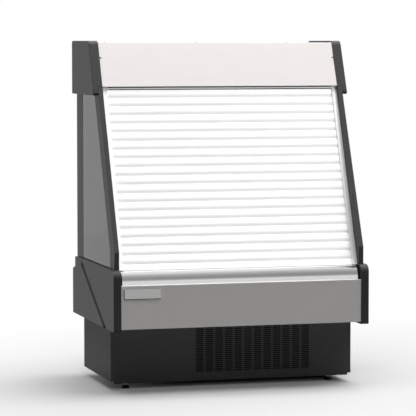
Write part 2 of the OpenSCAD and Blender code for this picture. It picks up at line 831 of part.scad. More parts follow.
upright_w = 30;
upright_d = 12;
upright_t = 2;
upright_slot_w = 5;
upright_slot_h = 20;
upright_pitch = 35;
upright_share = 0.93;
upright_x = cab_half * upright_share;
upright_z0 = deck_z + gap;
upright_z1 = header_z - 2 * gap;
upright_y = duct_panel_y - gap - upright_d;
upright_count = floor((upright_z1 - upright_z0 - upright_pitch) / upright_pitch);

module shelf_uprights() {
    color("#8e9092") from_front() for (s = SIDES) translate([s * upright_x, upright_y, 0]) difference() {
        block([-upright_w / 2, 0, upright_z0], [upright_w / 2, upright_d, upright_z1]);
        block([-upright_w / 2 + upright_t, upright_t, upright_z0 - cut],
              [upright_w / 2 - upright_t, upright_d + cut, upright_z1 + cut]);
        for (i = [0:upright_count])
            translate([-upright_slot_w / 2, -cut, upright_z0 + upright_pitch / 2 + i * upright_pitch])
                cube([upright_slot_w, upright_t + 2 * cut, upright_slot_h]);
    }
}

bracket_t = 3;
hook_h = 9;
hook_reach = upright_t + bracket_t;
bracket_tip_h = 14;
shelf_rear_y = upright_y - gap;
shelf_end_gap = 14;
shelf_half = half_in - shelf_end_gap;

shutter_foot_z = nosing_z;
shutter_foot_share = 0.256;
shutter_foot_y = nosing_centre[0] - nosing_r * shutter_foot_share;
shutter_rake = (header_setback + shutter_inset - shutter_foot_y) / (header_z - shutter_foot_z);
shutter_tilt = atan(shutter_rake);
// Front of the shutter at height z
function shutter_y(z) = shutter_foot_y + shutter_rake * (z - shutter_foot_z);

module shelf(z) {
    y0 = shutter_y(z) + shelf_clear;
    color("#e4e4e2") from_front() {
        block([-shelf_half, y0, z - shelf_t], [shelf_half, shelf_rear_y, z]);
        block([-shelf_half, y0, z - shelf_lip_h], [shelf_half, y0 + shelf_t, z - shelf_t / 2]);
        block([-shelf_half, shelf_rear_y - shelf_t, z - shelf_lip_h / 2],
              [shelf_half, shelf_rear_y, z - shelf_t / 2]);
    }
}

upper_shelf_z = deck_z + upper_shelf_share * (header_z - deck_z);
lower_shelf_z = deck_z + lower_shelf_share * (header_z - deck_z);

// Height of the slot that a bracket's hook enters, at or below the shelf
function hook_z(z) =
    upright_z0 + upright_pitch / 2
    + floor((z - shelf_lip_h - hook_h - upright_z0 - upright_pitch / 2) / upright_pitch) * upright_pitch;

module bracket(z) {
    y0 = shutter_y(z) + shelf_clear + shelf_t + gap;
    y1 = shelf_rear_y - shelf_t - gap;
    top = z - shelf_t;
    low = hook_z(z) - bracket_tip_h;
    slab(-bracket_t / 2, bracket_t) polygon([
        [y0, top], [y1, top], [y1, z - shelf_lip_h / 2 - gap], [upright_y - gap, z - shelf_lip_h / 2 - gap],
        [upright_y - gap, low], [y0, top - bracket_tip_h]]);
    block([-bracket_t / 2, upright_y - gap - cut, hook_z(z) + gap],
          [bracket_t / 2, upright_y + hook_reach, hook_z(z) + gap + hook_h]);
}

module shelf_brackets() {
    color("#9b9d9f") from_front() for (s = SIDES, z = [upper_shelf_z, lower_shelf_z])
        translate([s * upright_x, 0, 0]) bracket(z);
}

// Glazed side frames

window_top_z = header_z - top_rail_h;

module side_frame(s) {
    outer = [[stile_foot_y, end_top_z], [stile_foot_y, knee_z], [header_setback, header_z],
             [back_y, header_z], [back_y, end_top_z]];
    window = [[stile_foot_y + front_stile_w, end_top_z - cut], [stile_foot_y + front_stile_w, knee_z],
              [rake_y(window_top_z) + front_stile_w, window_top_z],
              [back_y - rear_stile_w, window_top_z], [back_y - rear_stile_w, end_top_z - cut]];
    color("#434344") from_front() on_side(s) difference() {
        slab(half_in, side_frame_t) polygon(outer);
        slab(half_in - cut, side_frame_t + 2 * cut) polygon(window);
    }
}

module side_glass(s) {
    y0 = stile_foot_y + front_stile_w + gap;
    y1 = back_y - rear_stile_w - gap;
    z0 = end_top_z + gap;
    z1 = window_top_z - gap;
    pane = [[y0, z0], [y0, knee_z], [rake_y(z1) + front_stile_w + gap, z1], [y1, z1], [y1, z0]];
    color("#6f7476") from_front() on_side(s) {
        slab(half_in + side_frame_t - pane_t * 1.6, pane_t) polygon(pane);
        slab(half_in + pane_t * 0.6, pane_t) polygon(pane);
    }
}

// Header

cap_top_r = 14;
cap_corner_r = 5;
skirt_x = half_in + side_frame_t + gap;

module header_cap(s) {
    z0 = header_z - cap_skirt;
    outline = [[rake_y(z0), z0], [rake_y(overall_h), overall_h], [back_y, overall_h], [back_y, z0]];
    color("#414142") from_front() on_side(s) difference() {
        slab(half_in, cap_t) polygon(rounded(outline, [0, cap_top_r, cap_corner_r, cap_corner_r]));
        block([half_in - cut, -cut, z0 - cut], [skirt_x, overall_d, header_z + gap]);
    }
}

header_skin_t = 3;
header_inset = 2;
header_flange = 26;
header_half = half_in - gap;

module header_panel() {
    z0 = header_z;
    z1 = top_z;
    y0 = rake_y(z0) + header_inset;
    y1 = rake_y(z1) + header_inset;
    t = header_skin_t;
    color("#ece8e7") from_front() slab(-header_half, 2 * header_half) polygon([
        [y0, z0], [y1, z1], [y1 + header_flange, z1], [y1 + header_flange, z1 - cover_t],
        [y1 + t - rake * cover_t, z1 - cover_t], [y0 + t + rake * cover_t, z0 + cover_t],
        [y0 + header_flange / 2, z0 + cover_t], [y0 + header_flange / 2, z0]]);
}

module header_top() {
    y0 = rake_y(top_z) + header_inset + header_flange + gap;
    color("#c9c9c8") from_front() {
        block([-header_half, y0, top_z - cover_t], [header_half, back_y, top_z]);
    }
}

screw_r = 3.4;
screw_head_h = 3;
COVER_SCREW_SHARES = [-0.804, 0, 0.804];

module cover_screws() {
    color("#4a4a4b") from_front() for (share = COVER_SCREW_SHARES)
        translate([share * half_in, back_y - 2 * screw_r, top_z]) cylinder(r = screw_r, h = screw_head_h);
}

honeycomb_w = 44;
honeycomb_h = 20;
honeycomb_setback = 17;
honeycomb_y = shutter_y(header_z) + bar_t + honeycomb_setback;
cell_w = 24;
cell_wall = 3;
cell_rows = 3;

module discharge_honeycomb() {
    w = 2 * header_half;
    n = floor((w - cell_wall) / (cell_w + cell_wall));
    margin = (w - n * (cell_w + cell_wall) + cell_wall) / 2;
    cell_d = (honeycomb_w - cell_wall * (cell_rows + 1)) / cell_rows;
    color("#d6d7d6") from_front() difference() {
        block([-header_half, honeycomb_y, header_z],
              [header_half, honeycomb_y + honeycomb_w, header_z + honeycomb_h]);
        for (i = [0:n - 1], r = [0:cell_rows - 1])
            translate([-header_half + margin + i * (cell_w + cell_wall),
                       honeycomb_y + cell_wall + r * (cell_d + cell_wall), header_z - cut])
                cube([cell_w, cell_d, honeycomb_h + 2 * cut]);
    }
}

module canopy_floor() {
    y0 = honeycomb_y + honeycomb_w + gap;
    y1 = duct_panel_y + sheet_t;
    color("#ececea") from_front() {
        block([-header_half, y0, header_z], [header_half, y1, header_z + cover_t]);
        block([-header_half, y0, header_z], [header_half, y0 + cover_t, header_z + honeycomb_h]);
        block([-header_half, y1 - cover_t, header_z], [header_half, y1, header_z + honeycomb_h]);
    }
}

lamp_r = 13;
lamp_share = 0.9;
lamp_holder_t = 14;

module canopy_light() {
    l = header_half * lamp_share;
    y = honeycomb_y + honeycomb_w + 3 * lamp_r;
    z = header_z - lamp_r * 1.6;
    color("#f4f4ee") from_front() {
        rod_x([-l, y, z], lamp_r, 2 * l);
        for (s = SIDES) on_side(s) {
            block([l - cut, y - lamp_r * 1.2, z - lamp_r * 1.2],
                  [l + lamp_holder_t, y + lamp_r * 1.2, header_z - gap]);
        }
    }
}

trim_drop = 11;
trim_h = 8;
trim_t = 5;
guide_x = half_in - guide_w;

module slot_trim() {
    y0 = header_setback + header_inset + trim_t;
    color("#b9babb") from_front() slab(-guide_x + gap, 2 * (guide_x - gap)) polygon([
        [y0, header_z - trim_drop], [y0 + trim_t, header_z - trim_drop], [y0 + trim_t, header_z - gap],
        [y0 + trim_t - sheet_t, header_z - gap],
        [y0 + trim_t - sheet_t, header_z - trim_drop + trim_h], [y0, header_z - trim_drop + trim_h]]);
}

// Shutter: its own frame has y behind the front face and z up the slope

slot_run = (header_z - trim_drop - shutter_foot_z) / cos(shutter_tilt);
barrel_z = header_z + barrel_rise;
barrel_depth = slat_t + gap + barrel_r;
barrel_run = (barrel_z - shutter_foot_z + barrel_depth * sin(shutter_tilt)) / cos(shutter_tilt);
slat_count = floor((barrel_run - bar_h) / slat_pitch);
guide_lip_t = 3;
shutter_half = half_in - gap - guide_lip_t - slat_end_gap;
guide_lip_gap = 1;
guide_slot_d = bar_t + 2 * guide_lip_gap;
guide_run = slot_run + trim_drop;
slat_joint = 6;
slat_lip_t = 2.9;
slat_bulge = 3.4;
slat_curl_h = 11;

module on_shutter() {
    translate([0, shutter_foot_y, shutter_foot_z]) rotate([-shutter_tilt, 0, 0]) children();
}

// One slat: flat above, curling back at its lower edge over the tongue of the next slat down
function slat_outline(h) = concat(
    [[slat_bulge, 0]],
    [for (i = [0:5]) [slat_bulge * pow(1 - i / 5, 2), slat_curl_h * (i / 5) * 0.999 + gap / 2]],
    [[0, h - slat_joint], [slat_bulge - gap, h - gap], [slat_bulge + slat_lip_t, h - gap],
     [slat_bulge + slat_lip_t, h + slat_joint], [slat_t, h + slat_joint], [slat_t, slat_joint + 2 * gap],
     [slat_bulge + slat_lip_t - gap, slat_joint + 2 * gap], [slat_bulge + slat_lip_t - gap, 0]]);

module shutter_curtain() {
    color("#fbfbfb") from_front() on_shutter() for (i = [0:slat_count - 1])
        translate([0, 0, bar_h + i * slat_pitch]) slab(-shutter_half, 2 * shutter_half)
            polygon(slat_outline(slat_pitch));
}

seal_h = 1.4;
seal_run = bar_t * shutter_rake + seal_h;
seal_inset = 2.5;

module shutter_bottom_bar() {
    color("#fbfbfb") from_front() on_shutter() slab(-shutter_half, 2 * shutter_half) polygon([
        [0, seal_run + gap], [0, bar_h - slat_joint], [slat_bulge - gap, bar_h - gap],
        [slat_bulge + slat_lip_t, bar_h - gap], [slat_bulge + slat_lip_t, bar_h + slat_joint],
        [slat_t, bar_h + slat_joint], [slat_t, bar_h - gap], [bar_t, bar_h - slat_joint],
        [bar_t, seal_run + gap]]);
}

module bar_seal() {
    low = gap / cos(shutter_tilt);
    color("#4c4c4d") from_front() on_shutter() slab(-guide_x + gap, 2 * (guide_x - gap)) polygon([
        [seal_inset, seal_inset * shutter_rake + low], [seal_inset, seal_run + gap],
        [bar_t - cut, seal_run + gap], [bar_t - cut, (bar_t - cut) * shutter_rake + low]]);
}

module shutter_guides() {
    front = -guide_lip_gap - guide_lip_t;
    back = front + guide_lip_t + guide_slot_d + guide_lip_gap;
    web_x = half_in - gap - guide_lip_t;
    color("#d5d6d7") from_front() for (s = SIDES) on_side(s) difference() {
        on_shutter() {
            block([guide_x, front, -bar_t], [half_in - gap, front + guide_lip_t, guide_run]);
            block([web_x, front, -bar_t], [half_in - gap, back, guide_run]);
            block([guide_x, back - guide_lip_t / 2, -bar_t], [half_in - gap, back, guide_run]);
        }
        block([guide_x - cut, 0, nosing_z - nosing_r], [half_in + cut, overall_d, nosing_z + gap]);
    }
}

axle_r = 8;
barrel_end_gap = 12;
barrel_wall = 2;
bracket_plate_t = 5;
bracket_half_w = 24;

module at_barrel() {
    on_shutter() translate([0, barrel_depth, barrel_run]) rotate([shutter_tilt, 0, 0]) children();
}

module roller_barrel() {
    l = half_in - bracket_plate_t - barrel_end_gap;
    color("#a9acae") from_front() at_barrel() {
        difference() {
            rod_x([-l, 0, 0], barrel_r, 2 * l);
            rod_x([-l + barrel_end_gap, 0, 0], barrel_r - barrel_wall, 2 * (l - barrel_end_gap));
        }
        for (s = SIDES) on_side(s)
            rod_x([l - cut, 0, 0], axle_r, barrel_end_gap + bracket_plate_t + cut - gap);
    }
}

module barrel_brackets() {
    x0 = half_in - bracket_plate_t - gap;
    up = top_z - cover_t - barrel_z - gap * 2;
    color("#77797b") from_front() at_barrel() for (s = SIDES) on_side(s) difference() {
        block([x0, -bracket_half_w, -bracket_half_w], [x0 + bracket_plate_t, bracket_half_w, up]);
        rod_x([x0 - cut, 0, 0], axle_r + fit, bracket_plate_t + 2 * cut);
    }
}

// Refrigerant pipes: compressor to condenser, condenser to evaporator, evaporator to compressor

pipe_wander = 26;
elbow_share = 1.3;

// Straight pipe through a list of points, with an elbow at each turn
module pipe(points, r) {
    for (i = [0:len(points) - 2]) {
        run = points[i + 1] - points[i];
        translate(points[i]) rotate([0, acos(run[2] / norm(run)), atan2(run[1], run[0])])
            cylinder(r = r, h = norm(run));
    }
    for (i = [1:len(points) - 2]) translate(points[i]) sphere(r = r * elbow_share);
}

module refrigerant_pipes() {
    stub = compressor_r * shell_corner_share * 0.8;
    left = compressor_x + stub;
    near = compressor_y - stub;
    far = compressor_y + stub;
    bend_x = coil_x - coil_w / 2 - coil_end_t - 3 * tube_r - gap;
    bend_y = coil_y + coil_t / 2;
    bend_z = [for (r = [0:tube_rows - 1]) unit_z + coil_h * (r + 0.5) / tube_rows];
    high = cabinet_z - pipe_wander;
    evap_x = -evap_w / 2 - coil_end_t - 3 * tube_r - gap;
    evap_mid = evap_y + evap_t / 2;
    evap_row = [for (r = [0:evap_rows - 1]) evap_z + evap_h * (r + 0.5) / evap_rows];
    color("#b5713f") from_front() {
        pipe([[left, near, compressor_top_z], [left, near, high], [left, bend_y, high],
              [left, bend_y, bend_z[tube_rows - 2]], [bend_x, bend_y, bend_z[tube_rows - 2]]], liquid_r);
        pipe([[bend_x, bend_y, bend_z[0]], [RISERS[1][0], bend_y, bend_z[0]],
              [RISERS[1][0], evap_mid, bend_z[0]], [RISERS[1][0], evap_mid, evap_row[evap_rows - 1]],
              [evap_x, evap_mid, evap_row[evap_rows - 1]]], liquid_r);
        pipe([[left, far, compressor_top_z], [left, far, high], [RISERS[0][0], far, high],
              [RISERS[0][0], evap_mid, high], [RISERS[0][0], evap_mid, evap_row[0]],
              [evap_x, evap_mid, evap_row[0]]], suction_r);
    }
}

base_pan();
corner_posts();
base_grille();
base_side(-1);  // base_side_left
base_side(1);  // base_side_right
base_rear_panel();
foot(-1, false);  // foot_front_left
foot(1, false);  // foot_front_right
foot(-1, true);  // foot_rear_left
foot(1, true);  // foot_rear_right
compressor();
compressor_mounts();
condenser_coil();
condenser_fan_shroud();
condenser_fan_motor();
condenser_fan_blade();
drain_pan();
electrical_box();
cord_gland();
refrigerant_pipes();
drain_tube();
cabinet_skin();
cabinet_foam();
cabinet_liner();
end_panel(-1);  // end_panel_left
end_panel(1);  // end_panel_right
front_panel();
badge_plate();
nosing();
deck_pan();
return_air_grille();
evaporator_coil();
evaporator_fan_plenum();
evaporator_fan_motors();
evaporator_fan(-1);  // evaporator_fan_left
evaporator_fan(1);  // evaporator_fan_right
rear_duct_panel();
shelf_uprights();
shelf(upper_shelf_z);  // upper_shelf
shelf(lower_shelf_z);  // lower_shelf
shelf_brackets();
side_frame(-1);  // side_frame_left
side_frame(1);  // side_frame_right
side_glass(-1);  // side_glass_left
side_glass(1);  // side_glass_right
header_cap(-1);  // header_cap_left
header_cap(1);  // header_cap_right
header_panel();
header_top();
canopy_floor();
discharge_honeycomb();
canopy_light();
slot_trim();
barrel_brackets();
roller_barrel();
shutter_guides();
shutter_curtain();
shutter_bottom_bar();
bar_seal();
cover_screws();
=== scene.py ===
# %% [markdown]
# # Dressing an open display fridge
# The CAD model is loaded as a fixed frame: metres, +Z up, the front facing -Y, the origin on the
# floor. This lesson gives each of its parts a finish, and builds the pieces that need more shape
# than a drawing office draws: the slats, the glass, the end caps, the feet and the fixings.

import json
import math

import bmesh
import bpy
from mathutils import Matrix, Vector


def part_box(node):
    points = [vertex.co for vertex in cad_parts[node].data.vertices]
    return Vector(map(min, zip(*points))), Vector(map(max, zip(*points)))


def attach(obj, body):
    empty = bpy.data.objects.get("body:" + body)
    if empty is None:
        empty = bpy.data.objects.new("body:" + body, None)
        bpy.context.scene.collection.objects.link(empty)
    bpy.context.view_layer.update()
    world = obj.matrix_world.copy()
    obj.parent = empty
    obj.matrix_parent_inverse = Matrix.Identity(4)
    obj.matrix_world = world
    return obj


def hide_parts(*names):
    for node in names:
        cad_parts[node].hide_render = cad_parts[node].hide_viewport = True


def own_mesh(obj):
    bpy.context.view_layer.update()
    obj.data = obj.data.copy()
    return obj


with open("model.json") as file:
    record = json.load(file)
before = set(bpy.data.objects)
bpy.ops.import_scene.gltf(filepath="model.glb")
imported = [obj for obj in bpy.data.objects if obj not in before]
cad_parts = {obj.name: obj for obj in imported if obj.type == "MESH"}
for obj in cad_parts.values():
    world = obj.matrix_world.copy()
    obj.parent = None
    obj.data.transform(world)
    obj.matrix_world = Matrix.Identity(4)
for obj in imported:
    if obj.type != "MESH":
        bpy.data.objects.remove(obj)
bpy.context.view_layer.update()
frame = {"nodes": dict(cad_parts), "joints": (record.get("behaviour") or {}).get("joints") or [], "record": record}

# %% [markdown]
# ## Sizes read from the frame
# Every piece made here has to meet a CAD part, so its size is read from that part's box and not
# typed again. The shutter runs on a slope, and the joint's own axis says which way that is.

# %% Sizes of the case
MM = 0.001
SIDES = ((-1, "left"), (1, "right"))
JOINTS = {j["name"]: j for j in frame["joints"]}
CAP_LOW, CAP_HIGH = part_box("header_cap_right")
PANEL_LOW, PANEL_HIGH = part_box("end_panel_right")
FRAME_LOW, FRAME_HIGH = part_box("side_frame_right")
HALF_IN = CAP_LOW.x
FRONT = PANEL_LOW.y
HEADER_Z = FRAME_HIGH.z
STILE_FOOT = 76 * MM
HEADER_INSET = 2 * MM
KNEE_Z = FRAME_LOW.z + STILE_FOOT
header_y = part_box("header_panel")[0].y - HEADER_INSET
RAKE = (header_y - FRAME_LOW.y) / (HEADER_Z - KNEE_Z)
UP_SLOPE = Vector(JOINTS["shutter_lift"]["axis"]).normalized()
IN_SLOPE = Vector((0, UP_SLOPE.z, -UP_SLOPE.y))
print("inner half width", round(HALF_IN, 4), "rake", round(math.degrees(math.atan(RAKE)), 1))


def rake_y(z):
    """Front line of the stiles, caps and header panel at height z."""
    return header_y + RAKE * (z - HEADER_Z)


# %% [markdown]
# ## Camera
# The photograph looks slightly down on the case from its left, through a long lens, which keeps
# the uprights nearly parallel. The place and the lens were found by matching measured corners.

# %% Set the camera
CAMERA_PLACE = (-2.903, -10.146, 1.521)
CAMERA_DOWN = 4.05
CAMERA_TURN = -15.73
LENS_MM = 203.6
SENSOR_MM = 36
camera = bpy.data.objects.new("camera", bpy.data.cameras.new("camera"))
bpy.context.scene.collection.objects.link(camera)
camera.location = CAMERA_PLACE
camera.rotation_euler = (math.radians(90 - CAMERA_DOWN), 0, math.radians(CAMERA_TURN))
camera.data.lens = LENS_MM
camera.data.sensor_width = SENSOR_MM
bpy.context.scene.camera = camera
bpy.context.scene.view_settings.view_transform = "Standard"
print("camera", round(camera.location.length, 2), "m from the origin, lens", LENS_MM, "mm")

# %% [markdown]
# ## Building blocks in mesh code
# Nearly everything on a display case is a long section of one shape: a bar, a slat, a folded
# sheet. So one helper joins rings of points with faces, and the rest of the lesson feeds it rings.
# Building in bmesh, and not from ready-made cubes, keeps full control of every edge.

# %% Rings into solids
def skin_rings(mesh, rings, loop=False):
    """Joins rings of points with quads; an open run of rings gets a cap at each end."""
    rows = [[mesh.verts.new(p) for p in ring] for ring in rings]
    count = len(rows[0])
    for near, far in zip(rows, rows[1:] + rows[:1] if loop else rows[1:]):
        for i in range(count):
            j = (i + 1) % count
            mesh.faces.new((near[i], near[j], far[j], far[i]))
    if not loop:
        mesh.faces.new(rows[0][::-1])
        mesh.faces.new(rows[-1])


def place(name, mesh, slot, body="cabinet", stands_for=(), finish=None):
    """Turns a bmesh into a piece on a body, in its slot's finish or in another one by name."""
    bmesh.ops.recalc_face_normals(mesh, faces=mesh.faces)
    data = bpy.data.meshes.new(name)
    mesh.to_mesh(data)
    mesh.free()
    piece = bpy.data.objects.new(name, data)
    bpy.context.scene.collection.objects.link(piece)
    data.materials.append(FINISH[finish or slot])
    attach(piece, body)
    if stands_for:
        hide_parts(*stands_for)
    return piece


def solid(name, rings, slot, body="cabinet", stands_for=(), finish=None, loop=False):
    """One piece skinned from one run of rings."""
    mesh = bmesh.new()
    skin_rings(mesh, rings, loop)
    return place(name, mesh, slot, body, stands_for, finish)


def along_x(outline, x0, x1):
    """The two rings of a bar along X whose section is drawn in (y, z)."""
    return [[(x, y, z) for y, z in outline] for x in (x0, x1)]


def along_y(outlines, places):
    """Rings drawn in (x, z), each at its own place along Y."""
    return [[(x, y, z) for x, z in outline] for outline, y in zip(outlines, places)]


# %% [markdown]
# A real edge is never perfectly sharp: folded sheet has a bend, a moulding has a radius, and that
# small round is what catches the light. The Bevel modifier adds it. The CAD meshes have split
# corners, so they are welded and their flat faces merged first.

# %% Soft edges
EDGE_ANGLE = math.radians(32)
FLAT_ANGLE = math.radians(1)
WELD = 0.01 * MM


def soften(piece, radius, segments=2, welded=False, angle=EDGE_ANGLE):
    """Rounds the edges sharper than an angle and evens out the shading."""
    for face in piece.data.polygons:
        face.use_smooth = True
    if welded:
        piece.modifiers.new("weld", "WELD").merge_threshold = WELD
        flat = piece.modifiers.new("merge flats", "DECIMATE")
        flat.decimate_type = "DISSOLVE"
        flat.angle_limit = FLAT_ANGLE
    bevel = piece.modifiers.new("edge", "BEVEL")
    bevel.width = radius
    bevel.segments = segments
    bevel.limit_method = "ANGLE"
    bevel.angle_limit = angle
    bevel.use_clamp_overlap = True
    even = piece.modifiers.new("even shading", "WEIGHTED_NORMAL")
    even.keep_sharp = True
    return piece


# %% [markdown]
# Outlines are drawn like a draughtsman's: a few corners, each with its own radius.

# %% Outlines
def arc(centre, radius, start, end, steps):
    """Points of an arc about a centre, by angles in degrees."""
    turns = [math.radians(start + (end - start) * i / steps) for i in range(steps + 1)]
    return [(centre[0] + radius * math.cos(t), centre[1] + radius * math.sin(t)) for t in turns]


def oblong(u0, v0, u1, v1):
    """The four corners of an upright oblong."""
    return [(u0, v0), (u1, v0), (u1, v1), (u0, v1)]


def rounded(corners, radii, steps=6):
    """Outline through the corners, each rounded by its own radius."""
    points = []
    for i, (corner, radius) in enumerate(zip(corners, radii)):
        b = Vector(corner)
        u = (Vector(corners[i - 1]) - b).normalized()
        v = (Vector(corners[(i + 1) % len(corners)]) - b).normalized()
        half = math.acos(u.dot(v)) / 2
        centre = b + (u + v).normalized() * radius / math.sin(half)
        p, q = (b + w * radius / math.tan(half) - centre for w in (u, v))
        turn = math.pi - 2 * half
        for k in range(steps + 1):
            near, far = math.sin(turn * (1 - k / steps)), math.sin(turn * k / steps)
            points.append(tuple(centre + (p * near + q * far) / math.sin(turn)))
    return points


def inset(outline, by):
    """A convex outline drawn again, the same distance inside on every side."""
    count = len(outline)
    area = sum(a[0] * b[1] - b[0] * a[1] for a, b in zip(outline, outline[1:] + outline[:1]))
    side = by if area > 0 else -by
    lines = []
    for i in range(count):
        a, b = Vector(outline[i]), Vector(outline[(i + 1) % count])
        along = (b - a).normalized()
        lines.append((a + Vector((-along.y, along.x)) * side, along))
    points = []
    for i in range(count):
        (a, u), (b, v) = lines[i - 1], lines[i]
        reach = (b - a).cross(v) / u.cross(v)
        points.append(tuple(a + u * reach))
    return points


def upright(axis):
    """Rotation that takes the Z axis to another axis."""
    return Vector((0, 0, 1)).rotation_difference(Vector(axis)).to_matrix()


def turned(profile, centre, axis=(0, 0, 1), sides=32):
    """Rings of a turned piece; the profile is a list of (radius, height) along the axis."""
    turn = upright(axis)
    steps = [2 * math.pi * i / sides for i in range(sides)]
    rings = []
    for radius, height in profile:
        ring = [Vector((radius * math.cos(t), radius * math.sin(t), height)) for t in steps]
        rings.append([Vector(centre) + turn @ p for p in ring])
    return rings


# %% [markdown]
# ## Finishes
# Each finish is a small node tree on the Principled shader. The pattern is placed by the object's
# own coordinates, in metres, so a grain size is a real size. A value that is the same all over
# goes straight on the shader's socket; what varies comes from a noise through a mix or a map. A
# node and a socket know the tree that they are in, as their id_data.

# %% Wiring of nodes
def feed(node, inputs):
    """Sets a node's inputs, and links those whose value is a socket of another node."""
    for name, value in inputs.items():
        if isinstance(value, bpy.types.NodeSocket):
            node.id_data.links.new(value, node.inputs[name])
        else:
            node.inputs[name].default_value = value


def add_node(tree, kind, inputs):
    """Outputs of a new node whose inputs are fed."""
    node = tree.nodes.new(kind)
    feed(node, inputs)
    return node.outputs


def blend(factor, when_off, when_on):
    """Mixes two colours, each a socket or four numbers, by a factor's socket."""
    mix = factor.id_data.nodes.new("ShaderNodeMix")
    mix.data_type = "RGBA"
    feed(mix, {"Factor": factor, "A": when_off, "B": when_on})
    return mix.outputs["Result"]


# %% Parts of a finish
def new_finish(name, roughness=0.5, metallic=0.0, specular=0.5):
    """A material and its shader, with the values that are the same all over."""
    material = bpy.data.materials.new(name)
    material.use_nodes = True
    shader = material.node_tree.nodes["Principled BSDF"]
    feed(shader, {"Roughness": roughness, "Metallic": metallic, "Specular IOR Level": specular})
    return material, shader


def pattern(shader, size, detail=2.0, stretch=(1, 1, 1), cells=False):
    """Noise, or cells, whose features are about size metres across."""
    tree = shader.id_data
    spot = tree.nodes.new("ShaderNodeTexCoord").outputs["Object"]
    scale = [s / size for s in stretch]
    spot = add_node(tree, "ShaderNodeMapping", {"Scale": scale, "Vector": spot})["Vector"]
    kind = "ShaderNodeTexVoronoi" if cells else "ShaderNodeTexNoise"
    texture = add_node(tree, kind, {"Scale": 1.0, "Detail": detail, "Vector": spot})
    return texture["Color" if cells else "Fac"]


def tint(shader, colour, spread, source):
    """Lets the colour wander by a share of itself."""
    dark, light = ([min(1.0, c * s) for c in colour] + [1] for s in (1 - spread, 1 + spread))
    feed(shader, {"Base Color": blend(source, dark, light)})


def uneven_shine(shader, roughness, reach, source):
    """Lets the roughness wander; reach is how much less and how much more it gets."""
    limits = {"To Min": roughness - reach[0], "To Max": roughness + reach[1], "Value": source}
    feed(shader, {"Roughness": add_node(shader.id_data, "ShaderNodeMapRange", limits)["Result"]})


def relief(shader, height, source):
    """Raises the pattern by height metres."""
    bump = add_node(shader.id_data, "ShaderNodeBump", {"Distance": height, "Height": source})
    feed(shader, {"Normal": bump["Normal"]})


# %% [markdown]
# **Powder coat** covers most of the case. The powder melts into a skin with a faint orange peel,
# about a millimetre across, and the colour is even but not perfect.

# %% Powder coat
COAT_PATCH = 60 * MM
COAT_SHINE_PATCH = 25 * MM
COAT_SHINE = (0.04, 0.04)
PEEL_SIZE = 1.6 * MM
PEEL_HEIGHT = 0.012 * MM


def powder_coat(name, colour, roughness=0.5, specular=0.5, peel=PEEL_HEIGHT, mottle=0.03,
                metallic=0.0):
    """Coloured skin with an orange peel."""
    material, shader = new_finish(name, roughness, metallic, specular)
    tint(shader, colour, mottle, pattern(shader, COAT_PATCH, detail=4))
    shine = pattern(shader, COAT_SHINE_PATCH)
    uneven_shine(shader, roughness, COAT_SHINE, shine)
    relief(shader, peel, pattern(shader, PEEL_SIZE))
    return material


# %% [markdown]
# **Moulded plastic and cast end panels** have a finer, drier grain, spark-eroded into the mould.

# %% Moulded grain
MOULD_PATCH = 14 * MM
MOULD_SHINE_PATCH = 8 * MM
MOULD_SHINE = (0.05, 0.05)
GRAIN_SIZE = 0.9 * MM
GRAIN_HEIGHT = 0.02 * MM


def moulded(name, colour, roughness=0.55, specular=0.5, grain=GRAIN_HEIGHT, mottle=0.04):
    """Plastic or enamelled casting with a dry grain."""
    material, shader = new_finish(name, roughness, specular=specular)
    tint(shader, colour, mottle, pattern(shader, MOULD_PATCH, detail=5))
    shine = pattern(shader, MOULD_SHINE_PATCH)
    uneven_shine(shader, roughness, MOULD_SHINE, shine)
    relief(shader, grain, pattern(shader, GRAIN_SIZE, detail=3))
    return material


# %% [markdown]
# **Brushed or rolled metal** is noise drawn out along the way it was worked: long in one
# direction, fine across it. The lines vary the roughness more than the colour. **Galvanised
# sheet** is a metal too, and its zinc crystals are cells of slightly different grey and shine.

# %% Bare metal
DRAWN_LINE = 0.7 * MM
DRAWN_DEPTH = 0.004 * MM
DRAWN_TINT = 0.05
DRAWN_SHINE = (0.06, 0.08)
SPANGLE = 14 * MM
SPANGLE_TINT = 0.12
SPANGLE_SHINE = (0.08, 0.1)
ZINC_METAL = 0.85
ZINC_WAVE = 4 * MM
ZINC_HEIGHT = 0.01 * MM


def drawn_metal(name, colour, roughness=0.3, way=(0.01, 1, 1)):
    """Bare metal with fine lines; way is how much finer the pattern is along each axis."""
    material, shader = new_finish(name, roughness, metallic=1.0)
    lines = pattern(shader, DRAWN_LINE, detail=3, stretch=way)
    tint(shader, colour, DRAWN_TINT, lines)
    uneven_shine(shader, roughness, DRAWN_SHINE, lines)
    relief(shader, DRAWN_DEPTH, lines)
    return material


def galvanised(name, colour, roughness=0.42):
    """Zinc-coated sheet with crystals."""
    material, shader = new_finish(name, roughness, metallic=ZINC_METAL)
    crystals = pattern(shader, SPANGLE, cells=True)
    tint(shader, colour, SPANGLE_TINT, crystals)
    uneven_shine(shader, roughness, SPANGLE_SHINE, crystals)
    relief(shader, ZINC_HEIGHT, pattern(shader, ZINC_WAVE))
    return material


# %% [markdown]
# **Anodised aluminium** on the guides is nearly white and scatters most of its light; only a part
# of it mirrors. The drawing lines of the extrusion run along its length.

# %% Anodised extrusion
ANODISED_LINE = 0.9 * MM
ANODISED_WAY = (1, 1, 0.02)
ANODISED_DEPTH = 0.003 * MM
ANODISED_METAL = 0.25
ANODISED_TINT = 0.02
ANODISED_SHINE = (0.05, 0.05)


def anodised(name, colour, roughness=0.42):
    """Pale satin metal, drawn along Z."""
    material, shader = new_finish(name, roughness, metallic=ANODISED_METAL)
    lines = pattern(shader, ANODISED_LINE, stretch=ANODISED_WAY)
    tint(shader, colour, ANODISED_TINT, lines)
    uneven_shine(shader, roughness, ANODISED_SHINE, lines)
    relief(shader, ANODISED_DEPTH, lines)
    return material


# %% [markdown]
# **Rubber** is dark, dry and a little dusty. **Foam** has cells that show on its cut edge.

